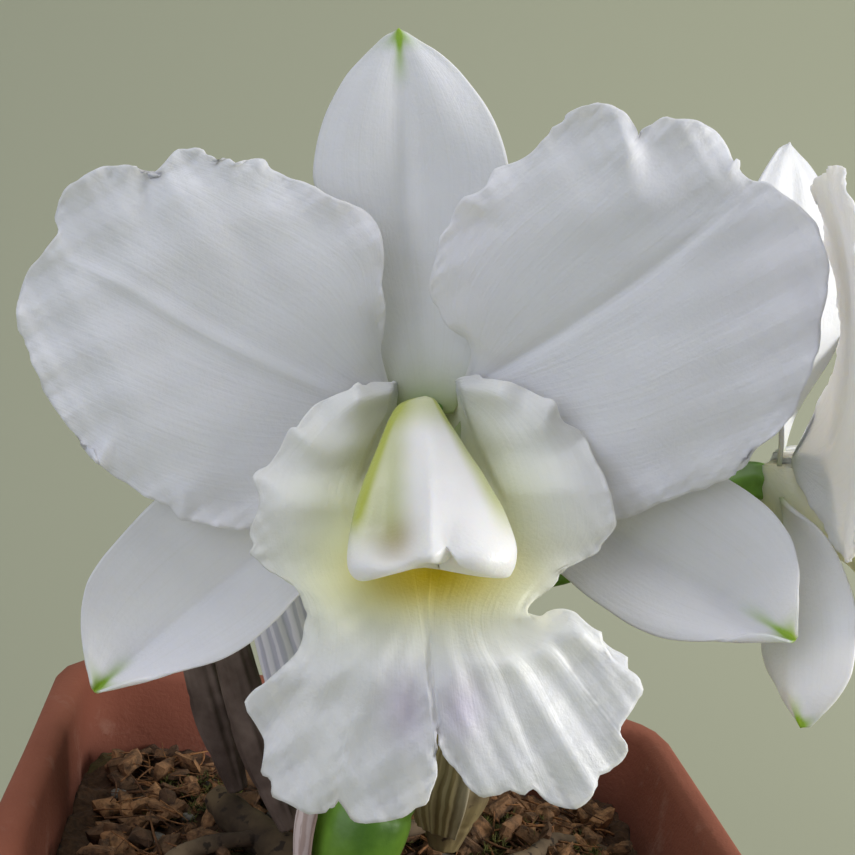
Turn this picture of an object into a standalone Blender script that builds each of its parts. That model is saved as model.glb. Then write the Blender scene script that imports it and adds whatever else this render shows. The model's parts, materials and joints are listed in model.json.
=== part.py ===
# A white cattleya orchid in a square clay pot, with two open flowers on one stem.
# Metres, +Z up. The origin is the centre of the pot's base. The main flower faces the -Y side.
# Lengths below are written in millimetres and turned to metres when a mesh is made.

import math
import random
from functools import partial

import bmesh
import bpy
import numpy as np
from mathutils import Matrix, Vector

MM = 0.001
GAP = 0.3

# Pot: outer width at the rim and at the base, height, and what shapes its wall.
POT_TOP = 130.0
POT_BASE = 92.0
POT_HEIGHT = 105.0
POT_WALL = 6.0
POT_FLOOR = 7.0
POT_CORNER = 12.0
RIM_ROUND = 2.2
DRAIN_RADIUS = 4.5
DRAIN_OFFSET = 20.0

# Potting mix: its level below the rim, the cells of its lumpy top, and its bark chips.
RIM = POT_HEIGHT
MIX_LEVEL = RIM - 15.0
MIX_CELLS = 18
MIX_LUMP = 1.3
CHIP_COUNT = 32
CHIP_SEED = 11
CHIP_SPREAD = 50.0
CHIP_SIZES = ((5, 10), (4, 7), (3, 5))

# Flowers: blade thickness, and the point in front of the flower from which its outlines were sighted.
BLADE = 0.7
EYE = (0.3, -4.2, 162.0)

# Where each flower's centre is, and the ways that it faces and stands.
MAIN_CENTRE = (-12.5, -30.5, RIM + 80.1)
MAIN_FACING = (-0.144, -0.972, 0.183)
MAIN_UP = (-0.144, 0.204, 0.968)
SIDE_CENTRE = (53.8, -17.8, RIM + 77.3)
SIDE_FACING = (0.870, -0.413, 0.268)
SIDE_UP = (-0.192, 0.209, 0.959)

# Each blade of a flower lies on its face plane, x to the right and y up from the flower's centre.
# rib, one and two are its midrib and its two side edges from base to tip, far is its outer margin from
# the end of edge one to the end of edge two, and depth is how far rows of it stand forward of the plane:
# a row runs from edge one to edge two, the first row is at the base and the last at the margin.
DORSAL_SEPAL = {
    "rib": [(0.2, 1.6), (-1.0, 11.0), (-2.2, 20.1), (-2.7, 30.5), (-3.0, 39.5), (-3.2, 46.9)],
    "one": [(-4.6, 0.4), (-7.6, 9.7), (-11.3, 18.8), (-14.5, 29.2), (-11.7, 39.3), (-4.3, 46.8)],
    "two": [(5.2, 0.4), (7.2, 9.7), (8.9, 19.4), (10.8, 30.5), (6.9, 39.5), (-2.2, 46.8)],
    "far": [(-4.3, 46.8), (-3.2, 47.7), (-2.2, 46.8)],
    "depth": [
        (-9.8, -9.8, -9.8, -9.8, -9.8),
        (-7.6, -8.0, -8.3, -8.0, -7.6),
        (-5.6, -6.2, -6.8, -6.2, -5.6),
        (-5.0, -5.0, -5.6, -5.0, -5.0),
        (-5.5, -4.6, -4.8, -4.6, -5.5),
        (-5.5, -5.2, -5.0, -5.2, -5.5),
    ],
    "waves": 0.0,
}
LEFT_SEPAL = {
    "rib": [(-3.6, -4.6), (-11.3, -11.0), (-21.1, -19.8), (-30.5, -27.5), (-37.6, -33.7), (-42.6, -38.2)],
    "one": [(-4.8, -3.0), (-13.6, -4.5), (-25.9, -8.7), (-38.2, -16.8), (-44.2, -26.6), (-43.3, -38.0)],
    "two": [(-2.2, -6.2), (-5.2, -16.2), (-14.9, -25.3), (-24.6, -33.0), (-34.3, -36.0), (-42.1, -38.5)],
    "far": [(-43.3, -38.0), (-42.8, -38.7), (-42.1, -38.5)],
    "depth": [
        (-9.8, -9.8, -9.8, -9.8, -9.8),
        (-7.4, -7.4, -7.8, -7.6, -7.2),
        (-5.6, -5.6, -6.4, -5.8, -5.0),
        (-4.4, -4.8, -5.8, -4.8, -3.6),
        (-2.6, -3.6, -4.8, -3.4, -2.0),
        (-0.6, -1.0, -1.6, -1.0, -0.6),
    ],
    "waves": 0.0,
}
RIGHT_SEPAL = {
    "rib": [(3.6, -4.6), (11.7, -8.7), (21.4, -15.2), (31.1, -21.8), (40.2, -27.0), (47.7, -31.4)],
    "one": [(4.8, -3.0), (14.9, -3.9), (27.9, -5.8), (41.5, -11.8), (48.0, -21.4), (48.2, -31.0)],
    "two": [(2.2, -6.2), (8.4, -16.2), (17.8, -23.2), (27.9, -29.9), (37.6, -31.9), (47.0, -31.6)],
    "far": [(48.2, -31.0), (48.0, -31.9), (47.0, -31.6)],
    "depth": LEFT_SEPAL["depth"],
    "waves": 0.0,
}
LEFT_PETAL = {
    "rib": [(-3.0, 0.1), (-10.4, -0.1), (-19.4, 3.6), (-29.2, 8.4), (-39.5, 14.4), (-49.2, 18.8)],
    "one": [(-3.0, 1.0), (-5.1, 6.5), (-5.4, 17.2), (-9.7, 24.4), (-18.1, 28.1), (-28.5, 31.5)],
    "two": [(-3.0, -0.9), (-6.9, -6.1), (-14.3, -13.6), (-23.3, -17.5), (-33.3, -14.8), (-42.8, -7.1)],
    "far": [
        (-28.5, 31.5), (-32.4, 31.8), (-35.6, 27.1), (-40.6, 29.8), (-47.0, 26.3), (-49.2, 18.8),
        (-52.9, 10.8), (-51.2, 4.3), (-48.9, -0.6), (-46.0, -4.3), (-42.8, -7.1),
    ],
    "depth": [
        (-7.8, -7.8, -7.8, -7.8, -7.8),
        (-3.2, -2.8, -3.0, -4.0, -5.0),
        (-0.6, 0.0, -0.6, -1.4, -2.0),
        (0.6, 1.2, 0.4, 0.6, -0.6),
        (0.8, 2.2, 1.4, 1.6, 0.2),
        (1.4, 1.6, 0.6, 1.0, 0.2),
    ],
    "waves": 0.9,
}
RIGHT_PETAL = {
    "rib": [(3.0, 0.3), (11.3, 4.3), (19.1, 9.1), (26.8, 14.3), (34.6, 20.3), (43.0, 27.7)],
    "one": [(3.0, 1.2), (5.8, 5.6), (0.6, 13.6), (3.9, 23.7), (10.8, 29.9), (19.7, 37.1)],
    "two": [(3.0, -0.9), (8.4, -5.8), (15.6, -12.3), (24.9, -16.1), (33.0, -13.2), (41.1, -9.2)],
    "far": [
        (19.7, 37.1), (23.3, 37.8), (27.5, 34.0), (31.5, 36.2), (37.6, 35.4), (43.0, 27.7),
        (48.6, 24.6), (52.1, 16.8), (50.5, 3.9), (47.0, -3.2), (41.1, -9.2),
    ],
    "depth": LEFT_PETAL["depth"],
    "waves": 0.9,
}
# The side flower's near petal, whose upper edge is thrown back.
THROWN_PETAL = dict(
    LEFT_PETAL,
    depth=[
        (-7.8, -7.8, -7.8, -7.8, -7.8),
        (-3.2, -2.8, -3.0, -4.0, -5.0),
        (-0.6, -0.4, -0.6, -1.4, -2.0),
        (-1.2, 0.6, 0.6, 0.6, -0.6),
        (-2.6, 0.2, 1.2, 1.6, 0.2),
        (-3.8, -1.2, 0.6, 1.0, 0.2),
    ],
)
# The lip's first rows are its two side lobes, which stand up beside the column, and its last rows are the
# broad middle lobe, whose margin is cleft in the middle.
LIP = {
    "rib": [
        (0.3, -0.4), (0.3, -3.9), (0.3, -8.4), (0.3, -13.6), (0.4, -18.8),
        (0.4, -22.9), (0.4, -26.3), (0.6, -30.5), (1.0, -36.3), (1.7, -43.2),
    ],
    "one": [
        (-3.0, 1.2), (-11.0, -0.1), (-17.5, -4.8), (-22.2, -10.8), (-22.6, -16.8),
        (-21.1, -21.9), (-16.2, -26.3), (-15.9, -31.8), (-19.8, -36.7), (-23.2, -39.5),
    ],
    "two": [
        (3.5, 1.4), (11.0, 1.8), (17.8, -3.2), (22.7, -10.0), (24.6, -16.8),
        (21.1, -20.9), (12.6, -27.7), (16.5, -27.7), (20.7, -28.3), (26.3, -34.1),
    ],
    "far": [
        (-23.2, -39.5), (-20.9, -46.9), (-19.8, -52.1), (-12.3, -53.7), (-5.2, -55.5),
        (0.4, -52.9), (1.7, -47.6), (1.7, -43.2), (2.9, -46.7), (7.1, -52.1),
        (15.6, -52.1), (21.4, -53.3), (24.2, -48.3), (27.9, -39.5), (26.3, -34.1),
    ],
    "depth": [
        (-4.5, -5.0, -5.5, -5.8, -6.0, -5.8, -5.5, -5.0, -4.5),
        (3.5, 3.4, -1.0, -5.4, -6.5, -5.4, -1.0, 3.4, 3.5),
        (5.0, 6.0, 4.0, -2.5, -4.5, -2.5, 4.0, 6.0, 5.0),
        (5.5, 7.0, 5.0, 0.5, -1.0, 0.5, 5.0, 7.0, 5.5),
        (5.0, 7.0, 6.0, 3.8, 3.0, 3.8, 6.0, 7.0, 5.0),
        (5.5, 7.0, 7.6, 7.8, 7.8, 7.8, 7.6, 7.0, 5.5),
        (9.5, 10.6, 11.2, 11.8, 11.8, 11.8, 11.2, 10.6, 9.5),
        (13.0, 14.4, 15.2, 15.8, 15.4, 15.8, 15.2, 14.4, 13.0),
        (14.5, 16.6, 18.0, 19.0, 18.4, 19.0, 18.0, 16.6, 14.5),
        (14.0, 16.0, 17.5, 19.4, 19.8, 19.4, 17.5, 16.0, 14.0),
    ],
    "waves": 0.6,
}
# The column from its top to its underside: left side, right side, back and front.
COLUMN = {
    "left": [
        (0.0, -0.1), (-2.6, -0.9), (-4.8, -3.2), (-6.7, -7.1), (-8.0, -11.0), (-9.2, -14.9),
        (-9.8, -18.8), (-9.7, -21.6), (-8.4, -23.3), (-4.5, -23.2), (0.6, -22.4),
    ],
    "right": [
        (0.0, -0.1), (1.9, -0.9), (3.5, -3.2), (6.1, -7.1), (8.2, -11.0), (10.1, -14.9),
        (11.5, -18.8), (11.8, -21.6), (10.8, -23.3), (6.5, -23.2), (0.6, -22.4),
    ],
    "back": [-3.6, -4.4, -3.4, -1.0, 2.0, 4.4, 7.0, 9.2, 11.0, 12.4, 14.0],
    "front": [-3.6, -0.4, 3.0, 7.0, 11.0, 14.2, 17.2, 19.2, 20.0, 17.6, 14.0],
}

# How each blade sits in its flower: degrees that it swings round the flower's axis, degrees that it leans
# back, degrees that it twists about its midrib past its base, and its size. The side flower's are twisted.
LEVEL = (0, 0, 0, 1.0)
FLAT = dict.fromkeys(("dorsal_sepal", "left_sepal", "right_sepal", "left_petal", "right_petal"), LEVEL)
TWISTED = {
    "dorsal_sepal": (5, 0, -34, 0.96),
    "left_sepal": (3, 1, -58, 0.70),
    "right_sepal": (0, 0, 0, 0.80),
    "left_petal": (-14, 0, 5, 0.98),
    "right_petal": (-5, 0, 0, 0.94),
}
TWIST_START = 0.04
TWIST_END = 0.38

# Grid cells of each blade, along it and across it, on the main flower and on the side flower.
CELLS = {
    "main": {"sepal": (10, 8), "petal": (13, 12), "lip": (20, 16), "column": (14, 10)},
    "side": {"sepal": (9, 6), "petal": (11, 8), "lip": (15, 14), "column": (12, 8)},
}

# The height of the pseudobulbs' feet, on top of the rhizome.
FOOT = RIM - 5.4

# Pseudobulbs: base, middle and tip of the axis, radius at base, widest and tip, and the finish.
PSEUDOBULBS = {
    "pseudobulb_front": (
        (-12, -21, FOOT), (-9, -17, RIM + 12), (-4, -8, RIM + 40), (2.6, 7.3, 3.4), "green_stem",
    ),
    "pseudobulb_silver": (
        (-6, 3, FOOT), (-17, 5, RIM + 17), (-31, 9, RIM + 50), (2.2, 4.2, 3.0), "green_stem",
    ),
    "pseudobulb_back": (
        (1, 17, FOOT), (-8, 17, RIM + 14), (-23, 16, RIM + 48), (2.2, 5.4, 3.0), "green_stem",
    ),
    "pseudobulb_old": (
        (10, 9, FOOT), (10, 11, RIM + 5), (12, 15, RIM + 22), (2.6, 6.4, 3.2), "old_stem",
    ),
    "pseudobulb_brown_left": (
        (-26.5, 23, FOOT), (-34, 24, RIM + 10), (-42, 26, RIM + 34), (2.0, 4.0, 2.6), "old_stem",
    ),
    "pseudobulb_brown_near": (
        (-17, 11, FOOT), (-27, 15, RIM + 10), (-36, 18, RIM + 36), (2.0, 3.8, 2.6), "old_stem",
    ),
}
# Papery sheaths: the pseudobulb that each wraps, its lower and upper end along it, how far it stands off,
# the angle that it leaves open, the side where it is open (0 is +X, 90 is +Y), and its finish.
SHEATHS = {
    "sheath_front": ("pseudobulb_front", 0.10, 0.55, 1.6, 200, -45, "sheath_pale"),
    "sheath_silver": ("pseudobulb_silver", 0.12, 0.94, 0.7, 40, 120, "sheath_silver"),
    "sheath_old": ("pseudobulb_old", 0.15, 0.92, 0.7, 150, -10, "sheath_pale"),
}
SHEATH_CELLS = (5, 11)

# Leaves: base, tip, the way the upper side faces, and width.
LEAVES = {
    "leaf_right": ((-2.0, -2.2, RIM + 42.5), (36, 31, RIM + 108), (-0.45, -0.75, 0.50), 31.0),
    "leaf_left": ((-32.5, 10.5, RIM + 53), (-50, 38, RIM + 98), (0.20, -0.80, 0.55), 27.0),
    "leaf_back": ((-23.8, 17.5, RIM + 51.5), (-12, 56, RIM + 108), (0.05, -0.82, 0.57), 30.0),
}
LEAF_THICK = 1.6
LEAF_FOLD = 0.20
LEAF_ARCH = 0.05
LEAF_CELLS = (10, 6)

# The creeping rhizome, its side branches and its roots: routes over the mix with their radii.
RHIZOME_Z = RIM - 10.4
RHIZOME = [(-30, 28), (-26, 22), (-17, 11), (-6, 3), (-9, -9), (-12, -21), (-14, -29)]
RHIZOME_RADII = (2.4, 3.2, 3.4, 3.6, 3.4, 3.4, 2.2)
BRANCHES = [[(-6, 3), (3, 5), (10, 9), (18, 12)], [(-6, 3), (-3, 10), (1, 17), (4, 25)]]
BRANCH_RADII = (3.2, 3.2, 3.2, 2.0)
ROOTS = [
    [(-12, -18), (-24, -24), (-33, -36), (-45, -40)],
    [(-12, -20), (-3, -31), (9, -35), (20, -46)],
    [(10, 8), (22, 2), (30, -10), (44, -16)],
    [(14, 10), (27, 16), (36, 28), (47, 30)],
    [(-20, 15), (-34, 8), (-42, -6), (-50, -12)],
    [(2, 20), (13, 28), (18, 40), (30, 47)],
]
ROOT_HEIGHTS = (0.6, 0.4, -1.6, -4.0)
ROOT_RADII = (1.3, 1.5, 1.3, 0.8)
HOLE_CLEARANCE = 0.4
FOOT_CLEARANCE = 0.6

# Flower stem: its route from the front pseudobulb, the two pedicels' routes from its fork, and the bract.
PEDUNCLE = [(-3.8, -7.4, RIM + 42.0), (-4.4, -7.0, RIM + 46), (-4.4, -6.0, RIM + 51)]
PEDUNCLE_RADIUS = 2.3
MAIN_PEDICEL = [(-6.1, -5.2, RIM + 53.4), (-7.6, -5.0, RIM + 60.6), (-9.4, -6.4, RIM + 69.0)]
SIDE_PEDICEL = [(-2.1, -5.9, RIM + 53.4), (5, -8, RIM + 51), (16, -10, RIM + 53), (28, -11, RIM + 63.6)]
PEDICEL_START = 1.7
PEDICEL_RADIUS = 2.0
OVARY_RADII = [3.0, 3.3, 2.7, 2.4]
OVARY_DEPTHS = (-16.5, -12.0, -8.2)
BRACT_PLACE = ((-4.2, -5.6, RIM + 52.6), (-0.80, -0.58, 0.1), (0.05, -0.2, 1.0))
BRACT_HALF = 4.2
BRACT_CLEAR = 5.6

COLOURS = {
    "petal_white": ("F1F0F0", 0.55),
    "lip_white": ("F3F2E6", 0.5),
    "column_white": ("F4F4EE", 0.4),
    "green_stem": ("5C7F2B", 0.45),
    "old_stem": ("8A7B56", 0.7),
    "sheath_silver": ("B9B8C2", 0.6),
    "sheath_pale": ("CDBBAE", 0.65),
    "leaf": ("4A6A25", 0.4),
    "rhizome": ("7B6A4C", 0.8),
    "mix": ("4A3626", 0.95),
    "clay": ("A65A3C", 0.85),
}


def clear_scene():
    for thing in list(bpy.data.objects):
        bpy.data.objects.remove(thing, do_unlink=True)


def collection(name):
    made = bpy.data.collections.new(name)
    bpy.context.scene.collection.children.link(made)
    return made


def material(name):
    if name in bpy.data.materials:
        return bpy.data.materials[name]
    code, roughness = COLOURS[name]
    srgb = [int(code[i : i + 2], 16) / 255 for i in (0, 2, 4)]
    linear = [c / 12.92 if c <= 0.04045 else ((c + 0.055) / 1.055) ** 2.4 for c in srgb]
    made = bpy.data.materials.new(name)
    made.use_nodes = True
    shader = made.node_tree.nodes["Principled BSDF"]
    shader.inputs["Base Color"].default_value = (*linear, 1.0)
    shader.inputs["Roughness"].default_value = roughness
    shader.inputs["Metallic"].default_value = 0.0
    return made


def add_object(name, data, where, finish=None):
    made = bpy.data.objects.new(name, data)
    where.objects.link(made)
    if finish:
        data.materials.append(material(finish))
    return made


def add_mesh(name, bm, where, finish=None):
    mesh = bpy.data.meshes.new(name)
    bm.to_mesh(mesh)
    bm.free()
    return add_object(name, mesh, where, finish)


def curve(points, share):
    """Points of a smooth curve through evenly timed points, at shares from 0 to 1 of its way."""
    points = np.asarray(points, float)
    spans = len(points) - 1
    place = np.clip(share, 0, 1) * spans
    first = np.minimum(place.astype(int), spans - 1)
    f = (place - first)[..., None]
    a = points[np.maximum(first - 1, 0)]
    b = points[first]
    c = points[first + 1]
    d = points[np.minimum(first + 2, spans)]
    return 0.5 * (2 * b + (c - a) * f + (2 * a - 5 * b + 4 * c - d) * f**2 + (3 * b - a - 3 * c + d) * f**3)


def curve_values(values, share):
    """Smooth values between evenly timed ones, at shares from 0 to 1."""
    return curve(np.array(values, float)[:, None], np.asarray(share))[..., 0]


def depth_at(rows, along, across):
    """Smooth value between the rows of a small table, at shares along it and across it."""
    rows = np.asarray(rows, float)
    by_row = curve(np.eye(rows.shape[0]), along)
    by_column = curve(np.eye(rows.shape[1]), across)
    return ((by_row @ rows) * by_column).sum(-1)


def edge_waves(x, y):
    """A ruffle that rolls on without a seam, between -1 and 1."""
    return 0.6 * np.sin(0.62 * x + 0.35 * y) + 0.4 * np.sin(0.31 * x - 0.83 * y + 1.3)


def sighted(flat, depth):
    """Points that lie at a depth before the face plane and are seen from the eye at their flat places."""
    sight = 1 - depth / EYE[2]
    x = EYE[0] + (flat[:, 0] - EYE[0]) * sight
    y = EYE[1] + (flat[:, 1] - EYE[1]) * sight
    return np.stack([x, y, depth], -1)


def blade_points(blade, along, side):
    """Points of a blade: along runs from base to tip, side from -1 at edge one to 1 at edge two."""
    reach = np.abs(side)[:, None]
    edge = np.where(side[:, None] < 0, curve(blade["one"], along), curve(blade["two"], along))
    flat = curve(blade["rib"], along) * (1 - reach) + edge * reach
    tip = np.asarray(blade["rib"][-1])
    corner = np.where(side[:, None] < 0, blade["one"][-1], blade["two"][-1])
    chord = tip * (1 - reach) + corner * reach
    pull = np.clip((along - 0.4) / 0.6, 0, 1)[:, None] ** 2
    flat = flat + pull * (curve(blade["far"], (side + 1) / 2) - chord)
    depth = depth_at(blade["depth"], along, (side + 1) / 2)
    rim = np.maximum(np.abs(side), along) ** 5 * np.clip(along * 3, 0, 1)
    depth = depth + blade["waves"] * rim * edge_waves(flat[:, 0], flat[:, 1])
    return sighted(flat, depth)


def spun(points, axis, degrees):
    """Points turned about a unit axis through the origin, by one angle or by one for each."""
    angle = np.radians(np.broadcast_to(degrees, len(points)))[:, None]
    along_axis = axis * (points @ axis)[:, None]
    return points * np.cos(angle) + np.cross(axis, points) * np.sin(angle) + along_axis * (1 - np.cos(angle))


def turned(points, blade, along, turn):
    """A blade's points after its twist, its lean, its change of size and its swing in the flower."""
    swing, lean, twist, size = turn
    facing = np.array([0.0, 0.0, 1.0])
    base = np.array([*blade["rib"][0], blade["depth"][0][0]])
    rib = np.array([*np.subtract(blade["rib"][-1], blade["rib"][0]), 0.0])
    rib = rib / np.linalg.norm(rib)
    ease = np.clip((along - TWIST_START) / (TWIST_END - TWIST_START), 0, 1)
    arm = spun((points - base) * size, rib, twist * ease * ease * (3 - 2 * ease))
    arm = spun(arm, np.cross(facing, rib), lean)
    return spun(arm + base, facing, swing)


def frame(centre, facing, up):
    """Matrix whose +Z faces the viewer of a flower or leaf and whose +Y stands up, in millimetres."""
    z = Vector(facing).normalized()
    x = Vector(up).cross(z).normalized()
    y = z.cross(x)
    made = Matrix((x, y, z)).transposed().to_4x4()
    made.translation = Vector(centre)
    return made


def grid_on(cells, shape):
    """A triangulated grid moved to shape(along, side), which gives places in millimetres."""
    bm = bmesh.new()
    bmesh.ops.create_grid(bm, x_segments=cells[1], y_segments=cells[0], size=1.0)
    flat = np.array([v.co[:2] for v in bm.verts])
    for vert, point in zip(bm.verts, shape((flat[:, 1] + 1) / 2, flat[:, 0])):
        vert.co = Vector(point) * MM
    bmesh.ops.triangulate(bm, faces=bm.faces[:])
    bm.normal_update()
    return bm


def add_walled(name, bm, thick, where, finish):
    """Adds an open mesh with a wall grown on the side away from its faces."""
    made = add_mesh(name, bm, where, finish)
    wall = made.modifiers.new("Wall", "SOLIDIFY")
    wall.thickness = thick * MM
    wall.offset = -1
    made.data.shade_smooth()
    return made


def sheet(name, cells, shape, place, thick, where, finish):
    """A blade on a frame, with its front facing the frame's +Z and its wall behind it."""
    turn = np.array(place.to_3x3())
    bm = grid_on(cells, lambda along, side: shape(along, side) @ turn.T + np.array(place.translation))
    front = place.to_3x3() @ Vector((0, 0, 1))
    if sum(face.normal.dot(front) * face.calc_area() for face in bm.faces) < 0:
        bmesh.ops.reverse_faces(bm, faces=bm.faces[:])
    return add_walled(name, bm, thick, where, finish)


def column(name, cells, place, where):
    """The column, an arched hood that is flat below, from a sphere whose poles are its top and underside."""
    bm = bmesh.new()
    bmesh.ops.create_uvsphere(bm, u_segments=cells[0], v_segments=cells[1], radius=1.0)
    ball = np.array([v.co for v in bm.verts])
    down = np.arccos(np.clip(ball[:, 2], -1, 1)) / math.pi
    turn = np.arctan2(ball[:, 1], ball[:, 0])
    across = ((1 + np.cos(turn)) / 2)[:, None]
    flat = curve(COLUMN["left"], down) * (1 - across) + curve(COLUMN["right"], down) * across
    back = curve_values(COLUMN["back"], down)
    front = curve_values(COLUMN["front"], down)
    depth = (back + front) / 2 + (front - back) / 2 * np.sin(turn)
    for vert, point in zip(bm.verts, sighted(flat, depth)):
        vert.co = (place @ Vector(point)) * MM
    bmesh.ops.triangulate(bm, faces=bm.faces[:])
    if bm.calc_volume(signed=True) < 0:
        bmesh.ops.reverse_faces(bm, faces=bm.faces[:])
    made = add_mesh(name, bm, where, "column_white")
    made.data.shade_smooth()
    return made


def tube(name, route, radii, where, finish, sides=8, steps=None):
    """A solid tube along a smooth route in millimetres, its radius following the list of radii."""
    steps = steps or 2 * len(route)
    share = np.linspace(0, 1, steps + 1)
    centre = curve(route, share)
    width = curve_values(radii, share)
    data = bpy.data.curves.new(name, "CURVE")
    data.dimensions = "3D"
    data.bevel_depth = MM
    data.bevel_resolution = (sides - 4) // 2
    data.use_fill_caps = True
    spline = data.splines.new("POLY")
    spline.points.add(steps)
    for point, co, radius in zip(spline.points, centre, width):
        point.co = (*(co * MM), 1.0)
        point.radius = float(radius)
    return add_object(name, data, where, finish)


def solid_from(thing, where):
    """A closed mesh object made from a curve object, which is then removed."""
    graph = bpy.context.evaluated_depsgraph_get()
    mesh = bpy.data.meshes.new_from_object(thing.evaluated_get(graph))
    bm = bmesh.new()
    bm.from_mesh(mesh)
    bmesh.ops.remove_doubles(bm, verts=bm.verts[:], dist=0.00001)
    bmesh.ops.recalc_face_normals(bm, faces=bm.faces[:])
    bm.to_mesh(mesh)
    bm.free()
    made = bpy.data.objects.new(thing.name + "_mesh", mesh)
    made.matrix_world = thing.matrix_world
    where.objects.link(made)
    bpy.data.objects.remove(thing, do_unlink=True)
    return made


def apply_boolean(target, operation, tools):
    """Joins target with a collection's objects or cuts them from it, and removes them."""
    step = target.modifiers.new(operation.title(), "BOOLEAN")
    step.operation = operation
    step.solver = "EXACT"
    step.operand_type = "COLLECTION"
    step.collection = tools
    graph = bpy.context.evaluated_depsgraph_get()
    mesh = bpy.data.meshes.new_from_object(target.evaluated_get(graph))
    target.modifiers.clear()
    target.data = mesh
    for tool in list(tools.objects):
        bpy.data.objects.remove(tool, do_unlink=True)
    bpy.data.collections.remove(tools)


def drop_scraps(thing):
    """Leaves only the largest connected body of a mesh."""
    bm = bmesh.new()
    bm.from_mesh(thing.data)
    left = set(bm.verts)
    bodies = []
    while left:
        body = set()
        reached = [left.pop()]
        while reached:
            vert = reached.pop()
            body.add(vert)
            near = [e.other_vert(vert) for e in vert.link_edges]
            fresh = [v for v in near if v in left]
            left.difference_update(fresh)
            reached.extend(fresh)
        bodies.append(body)
    bodies.sort(key=len)
    for body in bodies[:-1]:
        bmesh.ops.delete(bm, geom=list(body), context="VERTS")
    bm.to_mesh(thing.data)
    bm.free()


def square_block(name, low, high, low_width, high_width, corner, where):
    """A tapered block with a square plan and rounded upright edges."""
    bm = bmesh.new()
    bmesh.ops.create_cube(bm, size=1.0)
    for vert in bm.verts:
        top = vert.co.z > 0
        width = high_width if top else low_width
        vert.co = (vert.co.x * width * MM, vert.co.y * width * MM, (high if top else low) * MM)
    upright = [e for e in bm.edges if abs(e.verts[0].co.z - e.verts[1].co.z) > MM]
    bmesh.ops.bevel(bm, geom=upright, offset=corner * MM, segments=5, profile=0.5, affect="EDGES")
    return add_mesh(name, bm, where)


def inside_block(low, high, clear, where):
    """A block that fills the pot's inside between two heights, clear of its walls."""
    width = [inner_width(height) - 2 * clear for height in (low, high)]
    return square_block("inside", low, high, *width, POT_CORNER - POT_WALL * 0.6, where)


def inner_width(height):
    """Width of the pot's inside at a height."""
    return POT_BASE + (POT_TOP - POT_BASE) * height / POT_HEIGHT - 2 * POT_WALL


def pot(where):
    """The clay pot: a tapered square shell with four drain holes and a rounded rim."""
    body = square_block("pot", 0, POT_HEIGHT, POT_BASE, POT_TOP, POT_CORNER, where)
    body.data.materials.append(material("clay"))
    tools = collection("pot_tools")
    inside_block(POT_FLOOR, 1.1 * POT_HEIGHT, 0, tools)
    for x in (-DRAIN_OFFSET, DRAIN_OFFSET):
        for y in (-DRAIN_OFFSET, DRAIN_OFFSET):
            bm = bmesh.new()
            bmesh.ops.create_cone(
                bm, cap_ends=True, segments=12, radius1=DRAIN_RADIUS * MM, radius2=DRAIN_RADIUS * MM,
                depth=4 * POT_FLOOR * MM,
            )
            bmesh.ops.translate(bm, verts=bm.verts[:], vec=(x * MM, y * MM, 0))
            add_mesh("drain", bm, tools)
    apply_boolean(body, "DIFFERENCE", tools)
    bm = bmesh.new()
    bm.from_mesh(body.data)
    top = [e for e in bm.edges if all(v.co.z > (POT_HEIGHT - 0.1) * MM for v in e.verts)]
    rim = [e for e in top if e.calc_face_angle(0) > 1.0]
    bmesh.ops.bevel(bm, geom=rim, offset=RIM_ROUND * MM, segments=3, profile=0.5, affect="EDGES")
    bm.to_mesh(body.data)
    bm.free()
    return body


def chip(name, x, y, rng, where):
    """A bark chip: a block with its corners pulled about, lying tilted in the surface."""
    bm = bmesh.new()
    size = [rng.uniform(*limits) for limits in CHIP_SIZES]
    bmesh.ops.create_cube(bm, size=1.0)
    turn = Matrix.Rotation(rng.uniform(0, math.tau), 4, "Z") @ Matrix.Rotation(rng.uniform(-0.5, 0.5), 4, "X")
    lift = Vector((x, y, MIX_LEVEL + rng.uniform(0.2, 1.6)))
    for vert in bm.verts:
        pulled = Vector([c * s * rng.uniform(0.7, 1.1) for c, s in zip(vert.co, size)])
        vert.co = (turn @ pulled + lift) * MM
    bmesh.ops.triangulate(bm, faces=bm.faces[:])
    return add_mesh(name, bm, where)


def longer(route, by=0.8):
    """The route with its two ends drawn out a little."""
    route = [Vector(point) for point in route]
    route[0] += (route[0] - route[1]).normalized() * by
    route[-1] += (route[-1] - route[-2]).normalized() * by
    return [tuple(point) for point in route]


def stem_cutters(where):
    """Tubes a little fatter than the rhizome, roots and pseudobulbs, for the holes that they stand in."""
    for count, (route, radii, sides) in enumerate(ground_routes()):
        wide = [radius + HOLE_CLEARANCE for radius in radii]
        solid_from(tube("hole_%d" % count, longer(route), wide, where, None, sides), where)
    for name, (base, middle, _, radii, _) in PSEUDOBULBS.items():
        foot = Vector(base) - Vector((0, 0, 1.0))
        knee = Vector(base).lerp(Vector(middle), 0.6)
        wide = [radius + FOOT_CLEARANCE for radius in radii[:2]]
        solid_from(tube("hole_" + name, [foot, knee], wide, where, None, 8), where)


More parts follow.
